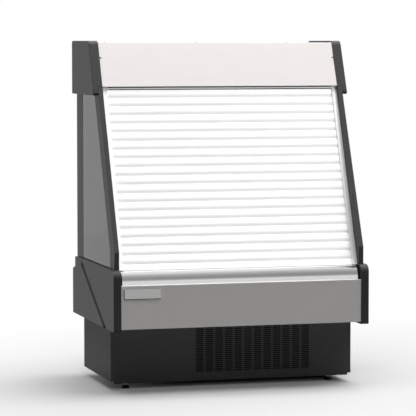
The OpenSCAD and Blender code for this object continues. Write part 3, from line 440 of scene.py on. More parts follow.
# %% Rubber and foam
DUST_PATCH = 9 * MM
DUST_TINT = 0.25
RUBBER_GRAIN = 0.8 * MM
RUBBER_HEIGHT = 0.03 * MM
FOAM_PATCH = 3 * MM
FOAM_TINT = 0.1
FOAM_CELL = 1.5 * MM
FOAM_HEIGHT = 0.2 * MM


def rubber(name, colour, roughness=0.75):
    """Black rubber with a dusty bloom."""
    material, shader = new_finish(name, roughness, specular=0.08)
    tint(shader, colour, DUST_TINT, pattern(shader, DUST_PATCH, detail=6))
    relief(shader, RUBBER_HEIGHT, pattern(shader, RUBBER_GRAIN))
    return material


def foam(name, colour, roughness=0.9):
    """Foam with open cells."""
    material, shader = new_finish(name, roughness, specular=0.2)
    tint(shader, colour, FOAM_TINT, pattern(shader, FOAM_PATCH, cells=True))
    relief(shader, FOAM_HEIGHT, pattern(shader, FOAM_CELL, cells=True))
    return material


# %% [markdown]
# **Glass** lets light through, and at the low angle of this view it mirrors the pale studio more
# than it shows the shelves. The faint bump is roller wave, left in the sheet by the furnace. Its
# index is set a little below window glass, as the photographed panes mirror a little less.

# %% Glass
GLASS_INDEX = 1.40
GLASS_PATCH = 200 * MM
GLASS_TINT = 0.01
ROLLER_WAVE = 120 * MM
ROLLER_HEIGHT = 0.02 * MM


def window_glass(name, colour, roughness=0.02):
    """Tinted float glass."""
    material, shader = new_finish(name, roughness)
    feed(shader, {"Transmission Weight": 1.0, "IOR": GLASS_INDEX})
    tint(shader, colour, GLASS_TINT, pattern(shader, GLASS_PATCH))
    relief(shader, ROLLER_HEIGHT, pattern(shader, ROLLER_WAVE, detail=0))
    return material


# %% [markdown]
# The CAD record names a finish slot for each part, so the finishes are kept in a table by slot,
# and every part, carried over or made here, takes its own from that table. The last rows are for
# pieces that need a finish of their own within a slot.

# %% Table of finishes
FINISH = {
    "base_black": powder_coat("charcoal base coat", (0.041, 0.041, 0.0417), 0.45, 0.08),
    "foot_black": moulded("black nylon", (0.012, 0.012, 0.012), 0.6, 0.4),
    "compressor_black": powder_coat("black enamel", (0.02, 0.02, 0.023), 0.28, 0.5),
    "mount_rubber": rubber("mount rubber", (0.018, 0.018, 0.018)),
    "coil_aluminium": drawn_metal("fin aluminium", (0.6, 0.61, 0.62), 0.4, way=(1, 1, 0.05)),
    "galvanised_sheet": galvanised("zinc sheet", (0.5, 0.52, 0.53)),
    "motor_grey": powder_coat("motor paint", (0.05, 0.05, 0.055), 0.45),
    "fan_aluminium": drawn_metal("fan aluminium", (0.62, 0.63, 0.64), 0.35, way=(1, 1, 0.1)),
    "box_grey": powder_coat("electrical box grey", (0.5, 0.51, 0.52), 0.5),
    "gland_black": moulded("gland nylon", (0.015, 0.015, 0.015), 0.55),
    "pipe_copper": drawn_metal("drawn copper", (0.72, 0.36, 0.22), 0.3, way=(1, 1, 0.1)),
    "drain_plastic": moulded("drain plastic", (0.3, 0.31, 0.32), 0.5),
    "foam_filling": foam("insulating foam", (0.75, 0.68, 0.42)),
    "liner_white": powder_coat("liner white", (0.78, 0.78, 0.77), 0.4),
    # One charcoal paint in two copies, darker on the end panels and lighter on the frames and caps: painted shade
    # and painted light for how their faces are lit.
    "end_grey": moulded("charcoal darkened for painted shade", (0.041, 0.041, 0.0414), 0.38, 0.15),
    "frame_grey": moulded("charcoal lightened for painted light", (0.055, 0.055, 0.0555), 0.38, 0.13, mottle=0.12),
    "window_glass": window_glass("tinted glass", (0.2, 0.205, 0.205)),
    "front_grey": powder_coat("front panel grey", (0.58, 0.569, 0.558), 0.42, 0.4, metallic=0.3),
    "badge_aluminium": drawn_metal("badge aluminium", (0.5, 0.495, 0.49), 0.4),
    "nosing_gloss": drawn_metal("satin nosing", (0.9, 0.9, 0.9), 0.16),
    "header_white": powder_coat("header white", (0.71, 0.678, 0.671), 0.5, 0.4),
    "honeycomb_grey": moulded("honeycomb plastic", (0.6, 0.61, 0.6), 0.5),
    "lamp_white": moulded("lamp cover", (0.88, 0.88, 0.85), 0.3, 0.5, grain=0.005 * MM),
    "trim_aluminium": anodised("satin anodised aluminium", (0.93, 0.925, 0.92)),
    "shutter_white": powder_coat("slat white", (0.82, 0.82, 0.82), 0.4, 0.5, 0.004 * MM, 0.008),
    "seal_rubber": rubber("seal rubber", (0.008, 0.008, 0.008)),
    "screw_steel": drawn_metal("screw steel", (0.35, 0.35, 0.35), 0.35),
    "filter_foam": foam("filter foam", (0.012, 0.012, 0.012)),
    # The base coat made lighter and shinier for the grille and the pan: painted light on the base's front.
    "grille_painted_light_coat": powder_coat("grille coat with painted light", (0.085, 0.085, 0.086), 0.4, 0.25),
}
print(len(FINISH), "finishes")

# %% [markdown]
# ## Parts carried over from the frame
# A part whose drawn shape is right stays as it is. It gets its finish and a small edge radius that
# suits how it is made: 0.5 mm on folded sheet, more on the cast end panels. The grille and the pan
# are the base's removable sheets; their coat is the sides' coat made lighter and shinier, painted
# light for the front of the base, which the lamps leave in shade.

# %% Dress the frame
EDGE = 0.5 * MM
OWN_EDGES = {
    "end_panel_left": 2 * MM, "end_panel_right": 2 * MM,
    "side_frame_left": 0.7 * MM, "side_frame_right": 0.7 * MM,
    "header_panel": 0.9 * MM, "front_panel": 0.6 * MM, "shutter_bottom_bar": 1.5 * MM,
    "compressor": 2 * MM, "drain_pan": 0.4 * MM, "barrel_brackets": 0.6 * MM,
}
# The grille and the pan take the lighter coat: painted light on the front of the base.
OWN_FINISH = {"base_grille": "grille_painted_light_coat", "base_pan": "grille_painted_light_coat"}
KNEE_ANGLE = math.radians(12)
SLOTS = {s["node"]: s["material_slot"] for s in frame["record"]["subparts"]}
for node, piece in frame["nodes"].items():
    piece.data.materials.clear()
    piece.data.materials.append(FINISH[OWN_FINISH.get(node, SLOTS[node])])
    angle = KNEE_ANGLE if node.startswith("side_frame") else EDGE_ANGLE
    soften(piece, OWN_EDGES.get(node, EDGE), welded=True, angle=angle)
print("dressed", len(SLOTS), "parts of the frame")

# %% [markdown]
# ## The slatted shutter
# Each slat is a thin roll-formed section: flat for most of its height, then curling back at its
# lower edge over the tongue of the next slat. That curl is what draws the grey lines across the
# white curtain. An Array modifier could repeat one slat; a loop up the slope does the same and
# lets every size follow from the frame.

# %% Outline of one slat
SLAT_PITCH = 40.15 * MM
SLAT_DEPTH = 8 * MM
SLAT_WALL = 1.2 * MM
SLAT_GAP = 0.4 * MM
CURL_DEPTH = 4.5 * MM
CURL_HEIGHT = 21.5 * MM
CURL_STEPS = 8
TONGUE = 5.5 * MM
SHOULDER = 1.0 * MM
SHOULDER_STEPS = 4


def slat_outline():
    """Section of a slat as (depth behind the face, height up the slope)."""
    lip = CURL_DEPTH + SLAT_WALL
    hook = TONGUE + 2 * SLAT_GAP
    top = SLAT_PITCH - SLAT_GAP / 2
    steps = [i / CURL_STEPS for i in range(CURL_STEPS + 1)]
    front = [(CURL_DEPTH * (1 - t) ** 2, SLAT_GAP / 2 + CURL_HEIGHT * t) for t in steps]
    shoulder = arc((SHOULDER, top - SHOULDER), SHOULDER, 180, 90, SHOULDER_STEPS)
    back = [(lip + SLAT_GAP, top), (lip + SLAT_GAP, top + TONGUE), (SLAT_DEPTH, top + TONGUE),
            (SLAT_DEPTH, hook), (lip, hook), (lip, SLAT_GAP / 2)]
    return front + shoulder + back


# %% [markdown]
# The shutter is measured from its foot, the point where its sloping face meets the level of the
# nosing's top. Depths run square into the case and runs go up the slope. The bottom bar takes the
# first stretch, and the slats follow.

# %% Curtain of slats
BAR_LOW, BAR_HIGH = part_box("shutter_bottom_bar")
CURTAIN_LOW, CURTAIN_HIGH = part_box("shutter_curtain")
BAR_FOOT = 6.33 * MM
BAR_RUN = 24.2 * MM
NOSE_LOW, NOSE_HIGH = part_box("nosing")
SHUTTER_FOOT = Vector((0, BAR_LOW.y - BAR_FOOT * UP_SLOPE.y, NOSE_HIGH.z))
slat_count = round((CURTAIN_HIGH.z - CURTAIN_LOW.z) / (SLAT_PITCH * UP_SLOPE.z))


def on_shutter(depth, run):
    """Point (y, z) at a depth behind the shutter's face and a run up its slope."""
    point = SHUTTER_FOOT + IN_SLOPE * depth + UP_SLOPE * run
    return point.y, point.z


mesh = bmesh.new()
for i in range(slat_count):
    section = [on_shutter(d, BAR_RUN + i * SLAT_PITCH + h) for d, h in slat_outline()]
    skin_rings(mesh, along_x(section, CURTAIN_LOW.x, CURTAIN_HIGH.x))
curtain = place("slat_curtain", mesh, "shutter_white", stands_for=["shutter_curtain"])
print(slat_count, "slats, shutter foot", [round(v, 4) for v in SHUTTER_FOOT])

# %% [markdown]
# The **bottom bar** closes the shutter. Its foot is cut level, and carries a rubber lip that
# presses on the nosing.

# %% Bottom bar and its seal
BAR_DEPTH = 12 * MM
BAR_EDGE = 1.6 * MM
BAR_TOE_EDGE = 0.2 * MM
BAR_BURR = 0.1 * MM
BAR_LIFT = 1.3 * MM
BAR_DROP = 1.25 * MM
SEAL_BACK = 5 * MM
SEAL_TAPER = 1 * MM
SEAL_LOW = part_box("bar_seal")[0]
bar_foot_z = SEAL_LOW.z + BAR_LIFT


def at_level(depth, z):
    """Point of the shutter's section at a depth behind its face and a given height."""
    run = (z - SHUTTER_FOOT.z - IN_SLOPE.z * depth) / UP_SLOPE.z
    return on_shutter(depth, run)


bar_corners = [at_level(0, SEAL_LOW.z - BAR_DROP), on_shutter(0, BAR_RUN),
               on_shutter(BAR_DEPTH, BAR_RUN), at_level(BAR_DEPTH, bar_foot_z)]
bar_outline = rounded(bar_corners, [BAR_TOE_EDGE, BAR_EDGE, BAR_EDGE, BAR_EDGE], 4)
bar = solid("bottom_bar", along_x(bar_outline, BAR_LOW.x, BAR_HIGH.x), "shutter_white",
            "shutter", ["shutter_bottom_bar"])
soften(bar, BAR_BURR)
lip = [at_level(SEAL_BACK, bar_foot_z), at_level(BAR_DEPTH - SEAL_TAPER, bar_foot_z),
       at_level(BAR_DEPTH - 2 * SEAL_TAPER, SEAL_LOW.z),
       at_level(SEAL_BACK + SEAL_TAPER, SEAL_LOW.z)]
solid("bar_lip_seal", along_x(lip, SEAL_LOW.x, -SEAL_LOW.x), "seal_rubber", "shutter", ["bar_seal"])
print("bottom bar", round(BAR_RUN / MM, 1), "mm high, foot at z", round(bar_foot_z, 4))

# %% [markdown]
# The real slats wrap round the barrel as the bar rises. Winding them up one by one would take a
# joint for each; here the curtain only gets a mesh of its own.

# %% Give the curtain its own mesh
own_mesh(curtain)

# %% [markdown]
# ## The nosing
# The rounded front rail is satin metal. Its section is a quarter round with a flat top, built with
# many steps so that its mirrored studio runs smoothly from the bright top to the darker front. It
# stops short of the end panels, where a black seal fills the gap.

# %% Nosing and its end seals
NOSE_RADIUS = 50 * MM
NOSE_STEPS = 28
NOSE_FLOOR = 39 * MM
NOSE_EDGE = 0.8 * MM
DECK_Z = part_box("deck_pan")[1].z
SEAL_WIDTH = 9 * MM
SEAL_INSET = 3 * MM
SEAL_EDGE = 0.6 * MM
nose_centre = (NOSE_LOW.y + NOSE_RADIUS, NOSE_HIGH.z - NOSE_RADIUS)
nose_outline = [(NOSE_LOW.y, NOSE_LOW.z), *arc(nose_centre, NOSE_RADIUS, 180, 90, NOSE_STEPS),
                (NOSE_HIGH.y, NOSE_HIGH.z), (NOSE_HIGH.y, DECK_Z),
                (NOSE_LOW.y + NOSE_FLOOR, NOSE_LOW.z)]
nose_end = NOSE_HIGH.x - SEAL_WIDTH
nosing = solid("nosing_rail", along_x(nose_outline, -nose_end, nose_end), "nosing_gloss",
               stands_for=["nosing"])
soften(nosing, NOSE_EDGE)
for side, name in SIDES:
    rings = along_x(inset(nose_outline, SEAL_INSET), side * nose_end, side * NOSE_HIGH.x)
    soften(solid("nosing_seal_" + name, rings, "seal_rubber"), SEAL_EDGE)
print("nosing", round(2 * nose_end, 3), "m between its seals")

# %% [markdown]
# ## Trim along the slot
# Under the header a small extrusion edges the slot that the shutter rolls through. Its upper half
# is set back and holds a black brush seal, and a black wiper hangs behind its lip, painted shade
# for the slot's shadow gaps. So it reads as a light line between two dark ones.

# %% Slot trim
TRIM_LOW, TRIM_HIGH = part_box("slot_trim")
TRIM_LIP = 5 * MM
TRIM_STEP = 3.4 * MM
TRIM_SLOPE = 1 * MM
TRIM_PROUD = 1.5 * MM
TRIM_EDGE = 0.5 * MM
lip_y, lip_z = TRIM_LOW.y - TRIM_PROUD, TRIM_LOW.z + TRIM_LIP
step_y = TRIM_LOW.y + TRIM_STEP
trim_outline = [(lip_y, TRIM_LOW.z), (lip_y, lip_z), (step_y, lip_z + TRIM_SLOPE),
                (step_y, TRIM_HIGH.z), (TRIM_HIGH.y, TRIM_HIGH.z), (TRIM_HIGH.y, TRIM_LOW.z)]
trim = solid("slot_edge_trim", along_x(trim_outline, TRIM_LOW.x, TRIM_HIGH.x), "trim_aluminium",
             stands_for=["slot_trim"])
soften(trim, TRIM_EDGE)
print("trim", round(TRIM_HIGH.x - TRIM_LOW.x, 3), "m long")

# %% Brush seal and wiper, painted shade
CLEAR = 0.1 * MM
SHADE_BRUSH_PROUD = 1.6 * MM
SHADE_BRUSH_LIFT = 1.5 * MM
SHADE_BRUSH_SINK = 0.2 * MM
SHADE_BRUSH_SHORT = 1 * MM
SHADE_WIPER_THICK = 2 * MM
SHADE_WIPER_DROP = 3.8 * MM
# Two black strips at the slot's shadow gaps: painted shade.
shade_brush = oblong(step_y - SHADE_BRUSH_PROUD, lip_z + SHADE_BRUSH_LIFT, step_y - CLEAR, TRIM_HIGH.z - SHADE_BRUSH_SINK)
shade_wiper = oblong(TRIM_HIGH.y - SHADE_WIPER_THICK, TRIM_LOW.z - SHADE_WIPER_DROP, TRIM_HIGH.y, TRIM_LOW.z - CLEAR)
for name, outline in (("slot_shade_brush_seal", shade_brush), ("slot_shade_wiper", shade_wiper)):
    rings = along_x(outline, TRIM_LOW.x + SHADE_BRUSH_SHORT, TRIM_HIGH.x - SHADE_BRUSH_SHORT)
    solid(name, rings, "seal_rubber")
face_y = at_level(0, TRIM_LOW.z - SHADE_WIPER_DROP)[0]
print("shade_wiper", round((face_y - TRIM_HIGH.y) / MM, 1), "mm in front of the slats")

# %% [markdown]
# ## Header end caps
# Each cap is one moulding with a thin skirt that hangs outside the side frame. Its outline follows
# the raked front; the top front corner and the lower one are rounded, and the skirt makes a step
# inside. The step is why it is skinned by hand from two outlines and not from one.

# %% Caps
CAP_TOP_RADIUS = 30 * MM
CAP_FOOT_RADIUS = 10 * MM
CAP_HEEL_RADIUS = 15 * MM
CAP_BACK_RADIUS = 5 * MM
CAP_EDGE = 2.5 * MM
SKIRT_GAP = 0.3 * MM
skirt_x = FRAME_HIGH.x + SKIRT_GAP


def header_cap(side):
    """Full outline outside the side frame, and its upper part above the frame."""
    corners = [(rake_y(CAP_LOW.z), CAP_LOW.z), (rake_y(CAP_HIGH.z), CAP_HIGH.z),
               (CAP_HIGH.y, CAP_HIGH.z), (CAP_HIGH.y, CAP_LOW.z)]
    radii = [CAP_FOOT_RADIUS, CAP_TOP_RADIUS, CAP_HEEL_RADIUS, CAP_BACK_RADIUS]
    outline = rounded(corners, radii)
    upper = [p for p in outline if p[1] > HEADER_Z]
    first = outline.index(upper[0])
    lower = outline[first + len(upper):] + outline[:first]
    chain = [(rake_y(HEADER_Z), HEADER_Z), *upper, (CAP_HIGH.y, HEADER_Z)]
    full = chain + lower
    mesh = bmesh.new()
    outer = [mesh.verts.new((side * CAP_HIGH.x, y, z)) for y, z in full]
    middle = [mesh.verts.new((side * skirt_x, y, z)) for y, z in full]
    inner = [mesh.verts.new((side * CAP_LOW.x, y, z)) for y, z in chain]
    mesh.faces.new(outer)
    mesh.faces.new(inner)
    mesh.faces.new([middle[len(chain) - 1], *middle[len(chain):], middle[0]])
    for a, b in ((outer, middle), (middle[:len(chain)], inner)):
        for i in range(len(a)):
            j = (i + 1) % len(a)
            mesh.faces.new((a[i], a[j], b[j], b[i]))
    return mesh


# The caps take the frames' lighter copy of the charcoal, not their slot's darker one: painted light.
for side, name in SIDES:
    cap = place("cap_" + name, header_cap(side), "end_grey",
                stands_for=["header_cap_" + name], finish="frame_grey")
    soften(cap, CAP_EDGE, 3)
print("caps", round((CAP_HIGH.x - CAP_LOW.x) / MM, 1), "mm thick")

# %% [markdown]
# ## Double glazing
# Each side window is a sealed unit: two panes, and between their edges an aluminium spacer bar
# with black sealant behind it. The outer pane lies almost flush with the side frame, with only a
# thin recessed joint round it, so it wipes clean; a rubber bead holds the unit from inside. All the
# edge pieces are closed loops between two insets of one outline, so they follow the glass.

# %% Panes, spacers and beads
GLASS_LOW, GLASS_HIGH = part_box("side_glass_right")
STILE_WIDTH = 80.3 * MM
PANE = 4 * MM
PANE_SINK = 0.6 * MM
GROUND_EDGE = 0.4 * MM
SPACER = 7 * MM
SEALANT = 5 * MM
BEAD = 3.5 * MM
BEAD_EDGE = 0.8 * MM
JOINT = 2.2 * MM
JOINT_SINK = 1.2 * MM
pane_outline = [(GLASS_LOW.y, GLASS_LOW.z), (GLASS_HIGH.y, GLASS_LOW.z),
                (GLASS_HIGH.y, GLASS_HIGH.z), (rake_y(GLASS_HIGH.z) + STILE_WIDTH, GLASS_HIGH.z),
                (GLASS_LOW.y, KNEE_Z)]
outer_skin = FRAME_HIGH.x - PANE_SINK
inner_face, outer_face = GLASS_LOW.x + PANE, outer_skin - PANE


def edge_ring(name, near, far, x0, x1, slot, finish=None):
    """Frame-shaped piece between two insets of the pane's outline."""
    rings = along_x(inset(pane_outline, near), x0, x1) + along_x(inset(pane_outline, far), x1, x0)
    return solid(name, rings, slot, finish=finish, loop=True)


def pane(name, x0, x1, stands_for=()):
    """One sheet of glass with ground edges."""
    rings = along_x(inset(pane_outline, JOINT), x0, x1)
    return soften(solid(name, rings, "window_glass", stands_for=stands_for), GROUND_EDGE)


for side, name in SIDES:
    pane("pane_outer_" + name, side * outer_face, side * outer_skin, ["side_glass_" + name])
    pane("pane_inner_" + name, side * GLASS_LOW.x, side * inner_face)
    x0, x1 = side * (inner_face + CLEAR), side * (outer_face - CLEAR)
    edge_ring("sealant_" + name, CLEAR, SEALANT, x0, x1, "seal_rubber")
    spacer = edge_ring("spacer_" + name, SEALANT, SEALANT + SPACER, x0, x1, "trim_aluminium")
    soften(spacer, GROUND_EDGE)
    x0, x1 = side * (outer_face - CLEAR), side * (outer_skin - JOINT_SINK)
    edge_ring("joint_" + name, CLEAR, JOINT - CLEAR, x0, x1, "seal_rubber", "foot_black")
    x0, x1 = side * (GLASS_LOW.x - CLEAR), side * (FRAME_LOW.x + CLEAR)
    bead = edge_ring("bead_inner_" + name, CLEAR, BEAD, x0, x1, "seal_rubber", "frame_grey")
    soften(bead, BEAD_EDGE)
print("sealed units", round((outer_skin - GLASS_LOW.x) / MM, 1), "mm thick")

# %% [markdown]
# ## Folded edge of the outer sheet
# The outer sheet is folded round the ends of the rear wall, and hides the foam there. The fold is
# thin enough for the gap between the wall and the side frame, and shows only from the side.

# %% Sheet folds
SHEET = 0.2 * MM
SKIN_LOW, SKIN_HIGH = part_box("cabinet_skin")
wall_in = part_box("cabinet_liner")[1].y
fold_x = SKIN_HIGH.x + CLEAR / 2
fold = oblong(wall_in, SKIN_LOW.z, SKIN_HIGH.y, SKIN_HIGH.z)
for side, name in SIDES:
    rings = along_x(fold, side * fold_x, side * (fold_x + SHEET))
    solid("skin_fold_" + name, rings, SLOTS["cabinet_skin"])
print("folds end", round((FRAME_LOW.x - fold_x - SHEET) / MM, 2), "mm from the side frames")

# %% [markdown]
# ## Ends of the diagonal recess
# The half-round recess down each end panel runs out softly at its top, as a moulding tool leaves
# it, and at its foot a black rubber plug fills it, painted shade for the dark pocket there. A cut
# would leave the top end sharp, so a thin filler is skinned into it, slice by slice. The recess is
# drawn from the panel's own box, as shares of its depth and height.

# %% Line of the recess
RECESS_WIDE = 29 * MM
RECESS_DEEP = 11 * MM
TOP_SHARES = (0.795, 0.948)
FOOT_SHARE = 0.209
RECESS_ROUND = ((RECESS_WIDE / 2) ** 2 + RECESS_DEEP ** 2) / (2 * RECESS_DEEP)
depth_all, height_all = PANEL_HIGH.y - FRONT, PANEL_HIGH.z - PANEL_LOW.z
recess_top = Vector((FRONT + depth_all * TOP_SHARES[0], PANEL_LOW.z + height_all * TOP_SHARES[1]))
recess_foot = Vector((FRONT + depth_all * FOOT_SHARE, PANEL_LOW.z))
down = (recess_foot - recess_top).normalized()
across = Vector((down.y, -down.x))
recess_length = (recess_foot - recess_top).length
print("recess", round(recess_length, 3), "m long, radius", round(RECESS_ROUND / MM, 1), "mm")

# %% Recess run-out and plug, painted shade
RUN_OUT = 42 * MM
RUN_STEPS = 10
SHADE_PLUG_LONG = 19 * MM
SHADE_PLUG_LIFT = 1 * MM
SEGMENT = 12
SKIM_SHARE = 0.985
BED_SHARE = 0.99
SHADE_PLUG_SHARES = (0.2, 0.97)
RUN_EDGE = 0.05 * MM
SHADE_PLUG_EDGE = 0.5 * MM


def across_recess(run, share, side, level=None):
    """Points across the recess at a share of its depth, a run below its top or down to a level."""
    points = []
    for i in range(SEGMENT + 1):
        u = RECESS_WIDE / 2 * (2 * i / SEGMENT - 1)
        y, z = recess_top + down * run + across * u
        if level is not None:
            y, z = y + down.x * (level - z) / down.y, level
        sink = math.sqrt(RECESS_ROUND ** 2 - u * u) - RECESS_ROUND + RECESS_DEEP
        points.append((side * (PANEL_HIGH.x - max(sink, 0) * share), y, z))
    return points


def slice_of(run, shares, side, level=None):
    """Closed ring between two shares of the recess's depth."""
    near, far = (across_recess(run, share, side, level) for share in shares)
    return near + far[::-1]


for side, name in SIDES:
    rings = []
    for i in range(RUN_STEPS + 1):
        t = i / RUN_STEPS
        rise = SKIM_SHARE * t * t * (3 - 2 * t)
        rings.append(slice_of(RUN_OUT * t, (rise, BED_SHARE), side))
    soften(solid("recess_run_out_" + name, rings, "end_grey"), RUN_EDGE)
    # The black plug at the foot is painted shade for the pocket there.
    rings = [slice_of(recess_length - SHADE_PLUG_LONG, SHADE_PLUG_SHARES, side),
             slice_of(0, SHADE_PLUG_SHARES, side, PANEL_LOW.z + SHADE_PLUG_LIFT)]
    soften(solid("recess_shade_plug_" + name, rings, "seal_rubber"), SHADE_PLUG_EDGE)
print("run-out", round(RUN_OUT / MM), "mm, plug", round(SHADE_PLUG_LONG / MM), "mm")

# %% [markdown]
# ## Filter behind the grille
# A condenser always has a dust filter in front of it: a black foam pad in a thin channel that the
# user pulls out and washes. It is also why the slots of the grille look black.

# %% Grille filter
GRILLE_X = (-176 * MM, 364 * MM)
GRILLE_Z = (57 * MM, 268 * MM)
FILTER_GAP = 4 * MM
FILTER_THICK = 8 * MM
FILTER_SLACK = 1 * MM
CHANNEL = 8 * MM
CHANNEL_SHEET = 0.8 * MM
CHANNEL_EDGE = 0.3 * MM
channel_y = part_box("base_grille")[1].y + FILTER_GAP
pad = oblong(GRILLE_X[0], GRILLE_Z[0], GRILLE_X[1], GRILLE_Z[1])
pad_y = (channel_y + FILTER_SLACK, channel_y + FILTER_THICK - FILTER_SLACK)
solid("filter_pad", along_y((pad, pad), pad_y), "base_black", finish="filter_foam")
outer, inner = inset(pad, -FILTER_SLACK), inset(pad, CHANNEL)
channel_back = channel_y + CHANNEL_SHEET
rings = along_y((outer, inner, inner, outer), (channel_y, channel_y, channel_back, channel_back))
soften(solid("filter_channel", rings, "base_black", loop=True), CHANNEL_EDGE)
print("filter", round(GRILLE_X[1] - GRILLE_X[0], 3), "x", round(GRILLE_Z[1] - GRILLE_Z[0], 3), "m")

# %% [markdown]
# ## Badge plate
# The plate on the front panel is bare: a brushed plate with a low rim. A dark line along its left
# and lower edge is painted shadow of the raised plate, and two small rivets hold the plate.

# %% Badge plate
BADGE_LOW, BADGE_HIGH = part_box("badge_plate")
RIM = 2 * MM
RIM_RADIUS = 1.5 * MM
FIELD_RADIUS = 1 * MM
FIELD_SINK = 0.25 * MM
BADGE_EDGE = 0.3 * MM
face_y, back_y = BADGE_LOW.y, BADGE_HIGH.y
field_y = face_y + FIELD_SINK
corners = oblong(BADGE_LOW.x, BADGE_LOW.z, BADGE_HIGH.x, BADGE_HIGH.z)
rim = rounded(corners, [RIM_RADIUS] * 4, 3)
field = rounded(inset(corners, RIM), [FIELD_RADIUS] * 4, 3)
rings = along_y((rim, rim, field, field), (back_y, face_y, face_y, field_y))
badge = solid("badge_blank", rings, "badge_aluminium", stands_for=["badge_plate"])
soften(badge, BADGE_EDGE)
print("badge plate", round((BADGE_HIGH.x - BADGE_LOW.x) / MM, 1), "mm wide")

# %% Painted shadow line
LINE_EDGE = 0.4 * MM
LINE_WIDTH = 3.4 * MM
LINE_PROUD = 0.05 * MM
# A black strip on the field along the left and lower edge: painted shadow of the raised plate.
x0, z0 = BADGE_LOW.x + LINE_EDGE, BADGE_LOW.z + LINE_EDGE
x1, z1 = x0 + LINE_WIDTH, z0 + LINE_WIDTH
x2, z2 = BADGE_HIGH.x - RIM, BADGE_HIGH.z - RIM
line = [(x0, z0), (x2, z0), (x2, z1), (x1, z1), (x1, z2), (x0, z2)]
rings = along_y((line, line), (field_y, face_y - LINE_PROUD))
solid("badge_painted_shadow_line", rings, "badge_aluminium", finish="gland_black")
print("line", round(LINE_WIDTH / MM, 1), "mm wide")

# %% [markdown]
# ## Screws, rivets and clips
# A pan-head screw is turned from a domed profile, and its cross recess is a sunk star of points.
# Every visible fixing uses the same function, turned to face the way its panel does. Profiles are
# given as shares of the head's radius and height.

# %% Fixings
HEAD_SIDES = 24
HEAD_RADIUS = 3.4 * MM
HEAD_HEIGHT = 2.6 * MM
HEAD_PROFILE = ((1, 0), (1, 0.35), (0.9, 0.75), (0.68, 1))
ARM_SHARE = 0.52
WAIST_SHARE = 0.2
CROSS_SHARE = 0.5
RIVET_SIDES = 20
RIVET_RADIUS = 2.4 * MM
RIVET_HEIGHT = 0.8 * MM
RIVET_PROFILE = ((1, 0), (0.92, 0.6), (0.6, 1), (0.34, 1), (0.3, 0.5))


def scaled(profile, radius, height):
    """Profile in metres from one in shares."""
    return [(radius * r, height * h) for r, h in profile]


def pan_head(mesh, centre, axis):
    """Domed screw head whose driver recess goes down into its middle."""
    rings = turned(scaled(HEAD_PROFILE, HEAD_RADIUS, HEAD_HEIGHT), centre, axis, HEAD_SIDES)
    quarter = HEAD_SIDES // 4
    for level in (HEAD_HEIGHT, HEAD_HEIGHT * (1 - CROSS_SHARE)):
        ring = []
        for i in range(HEAD_SIDES):
            t = 2 * math.pi * i / HEAD_SIDES
            on_arm = i % quarter in (0, 1, quarter - 1)
            reach = HEAD_RADIUS * (ARM_SHARE if on_arm else WAIST_SHARE)
            point = Vector((reach * math.cos(t), reach * math.sin(t), level))
            ring.append(Vector(centre) + upright(axis) @ point)
        rings.append(ring)
    skin_rings(mesh, rings)


def rivet(mesh, centre, axis):
    """Low round head with a dimple where the mandrel broke off."""
    profile = scaled(RIVET_PROFILE, RIVET_RADIUS, RIVET_HEIGHT)
    skin_rings(mesh, turned(profile, centre, axis, RIVET_SIDES))


def fixings(name, slot, head, centres, axis, stands_for=()):
    """One piece of all the heads on a panel."""
    mesh = bmesh.new()
    for centre in centres:
        head(mesh, centre, axis)
    place(name, mesh, slot, stands_for=stands_for)
    print(name, len(centres))


# %% Put the fixings in place
SCREW_INSET = 12 * MM
RIVET_INSET = 9 * MM
SCREW_LOW, SCREW_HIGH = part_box("cover_screws")
REAR_LOW, REAR_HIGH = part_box("base_rear_panel")
cover_x, cover_y = SCREW_HIGH.x - HEAD_RADIUS, (SCREW_LOW.y + SCREW_HIGH.y) / 2
cover_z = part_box("header_top")[1].z
centres = [(x, cover_y, cover_z) for x in (-cover_x, 0, cover_x)]
fixings("top_cover_screws", "screw_steel", pan_head, centres, (0, 0, 1), ["cover_screws"])
rear_x = (REAR_LOW.x + SCREW_INSET, REAR_LOW.x / 3, REAR_HIGH.x / 3, REAR_HIGH.x - SCREW_INSET)
rear_z = (REAR_LOW.z + SCREW_INSET, REAR_HIGH.z - SCREW_INSET)
centres = [(x, REAR_HIGH.y, z) for x in rear_x for z in rear_z]
fixings("rear_panel_screws", "screw_steel", pan_head, centres, (0, 1, 0))
badge_z = (BADGE_LOW.z + BADGE_HIGH.z) / 2
centres = [(x, field_y, badge_z) for x in (BADGE_LOW.x + RIVET_INSET, BADGE_HIGH.x - RIVET_INSET)]
fixings("badge_rivets", "badge_aluminium", rivet, centres, (0, -1, 0))

# %% [markdown]
# Two small black clips hold the header panel, one against each cap. Each is a short bar that leans
# with the panel, so one section serves both.

# %% Header clips
CLIP_Z = 1449 * MM
CLIP_LENGTH = 8 * MM
CLIP_HEIGHT = 5 * MM
CLIP_PROUD = 1.5 * MM
CLIP_EDGE = 0.4 * MM
section = [(rake_y(z) + HEADER_INSET + depth, z) for depth, z in oblong(
    0, CLIP_Z - CLIP_HEIGHT / 2, -CLIP_PROUD, CLIP_Z + CLIP_HEIGHT / 2)]
mesh = bmesh.new()
for side, _ in SIDES:
    skin_rings(mesh, along_x(section, side * (HALF_IN - CLIP_LENGTH), side * (HALF_IN - SKIRT_GAP)))
soften(place("header_clips", mesh, "seal_rubber"), CLIP_EDGE)
print("clips at", round(CLIP_Z, 3), "m")

# %% [markdown]
# ## Feet
# A levelling foot is a nylon pad on a threaded stem with a locking nut. The pad is turned from a
# conical profile and the nut is six-sided. A Screw modifier could wind a true thread; fine ridges
# look the same at this size, and let pad and stem be one closed solid.

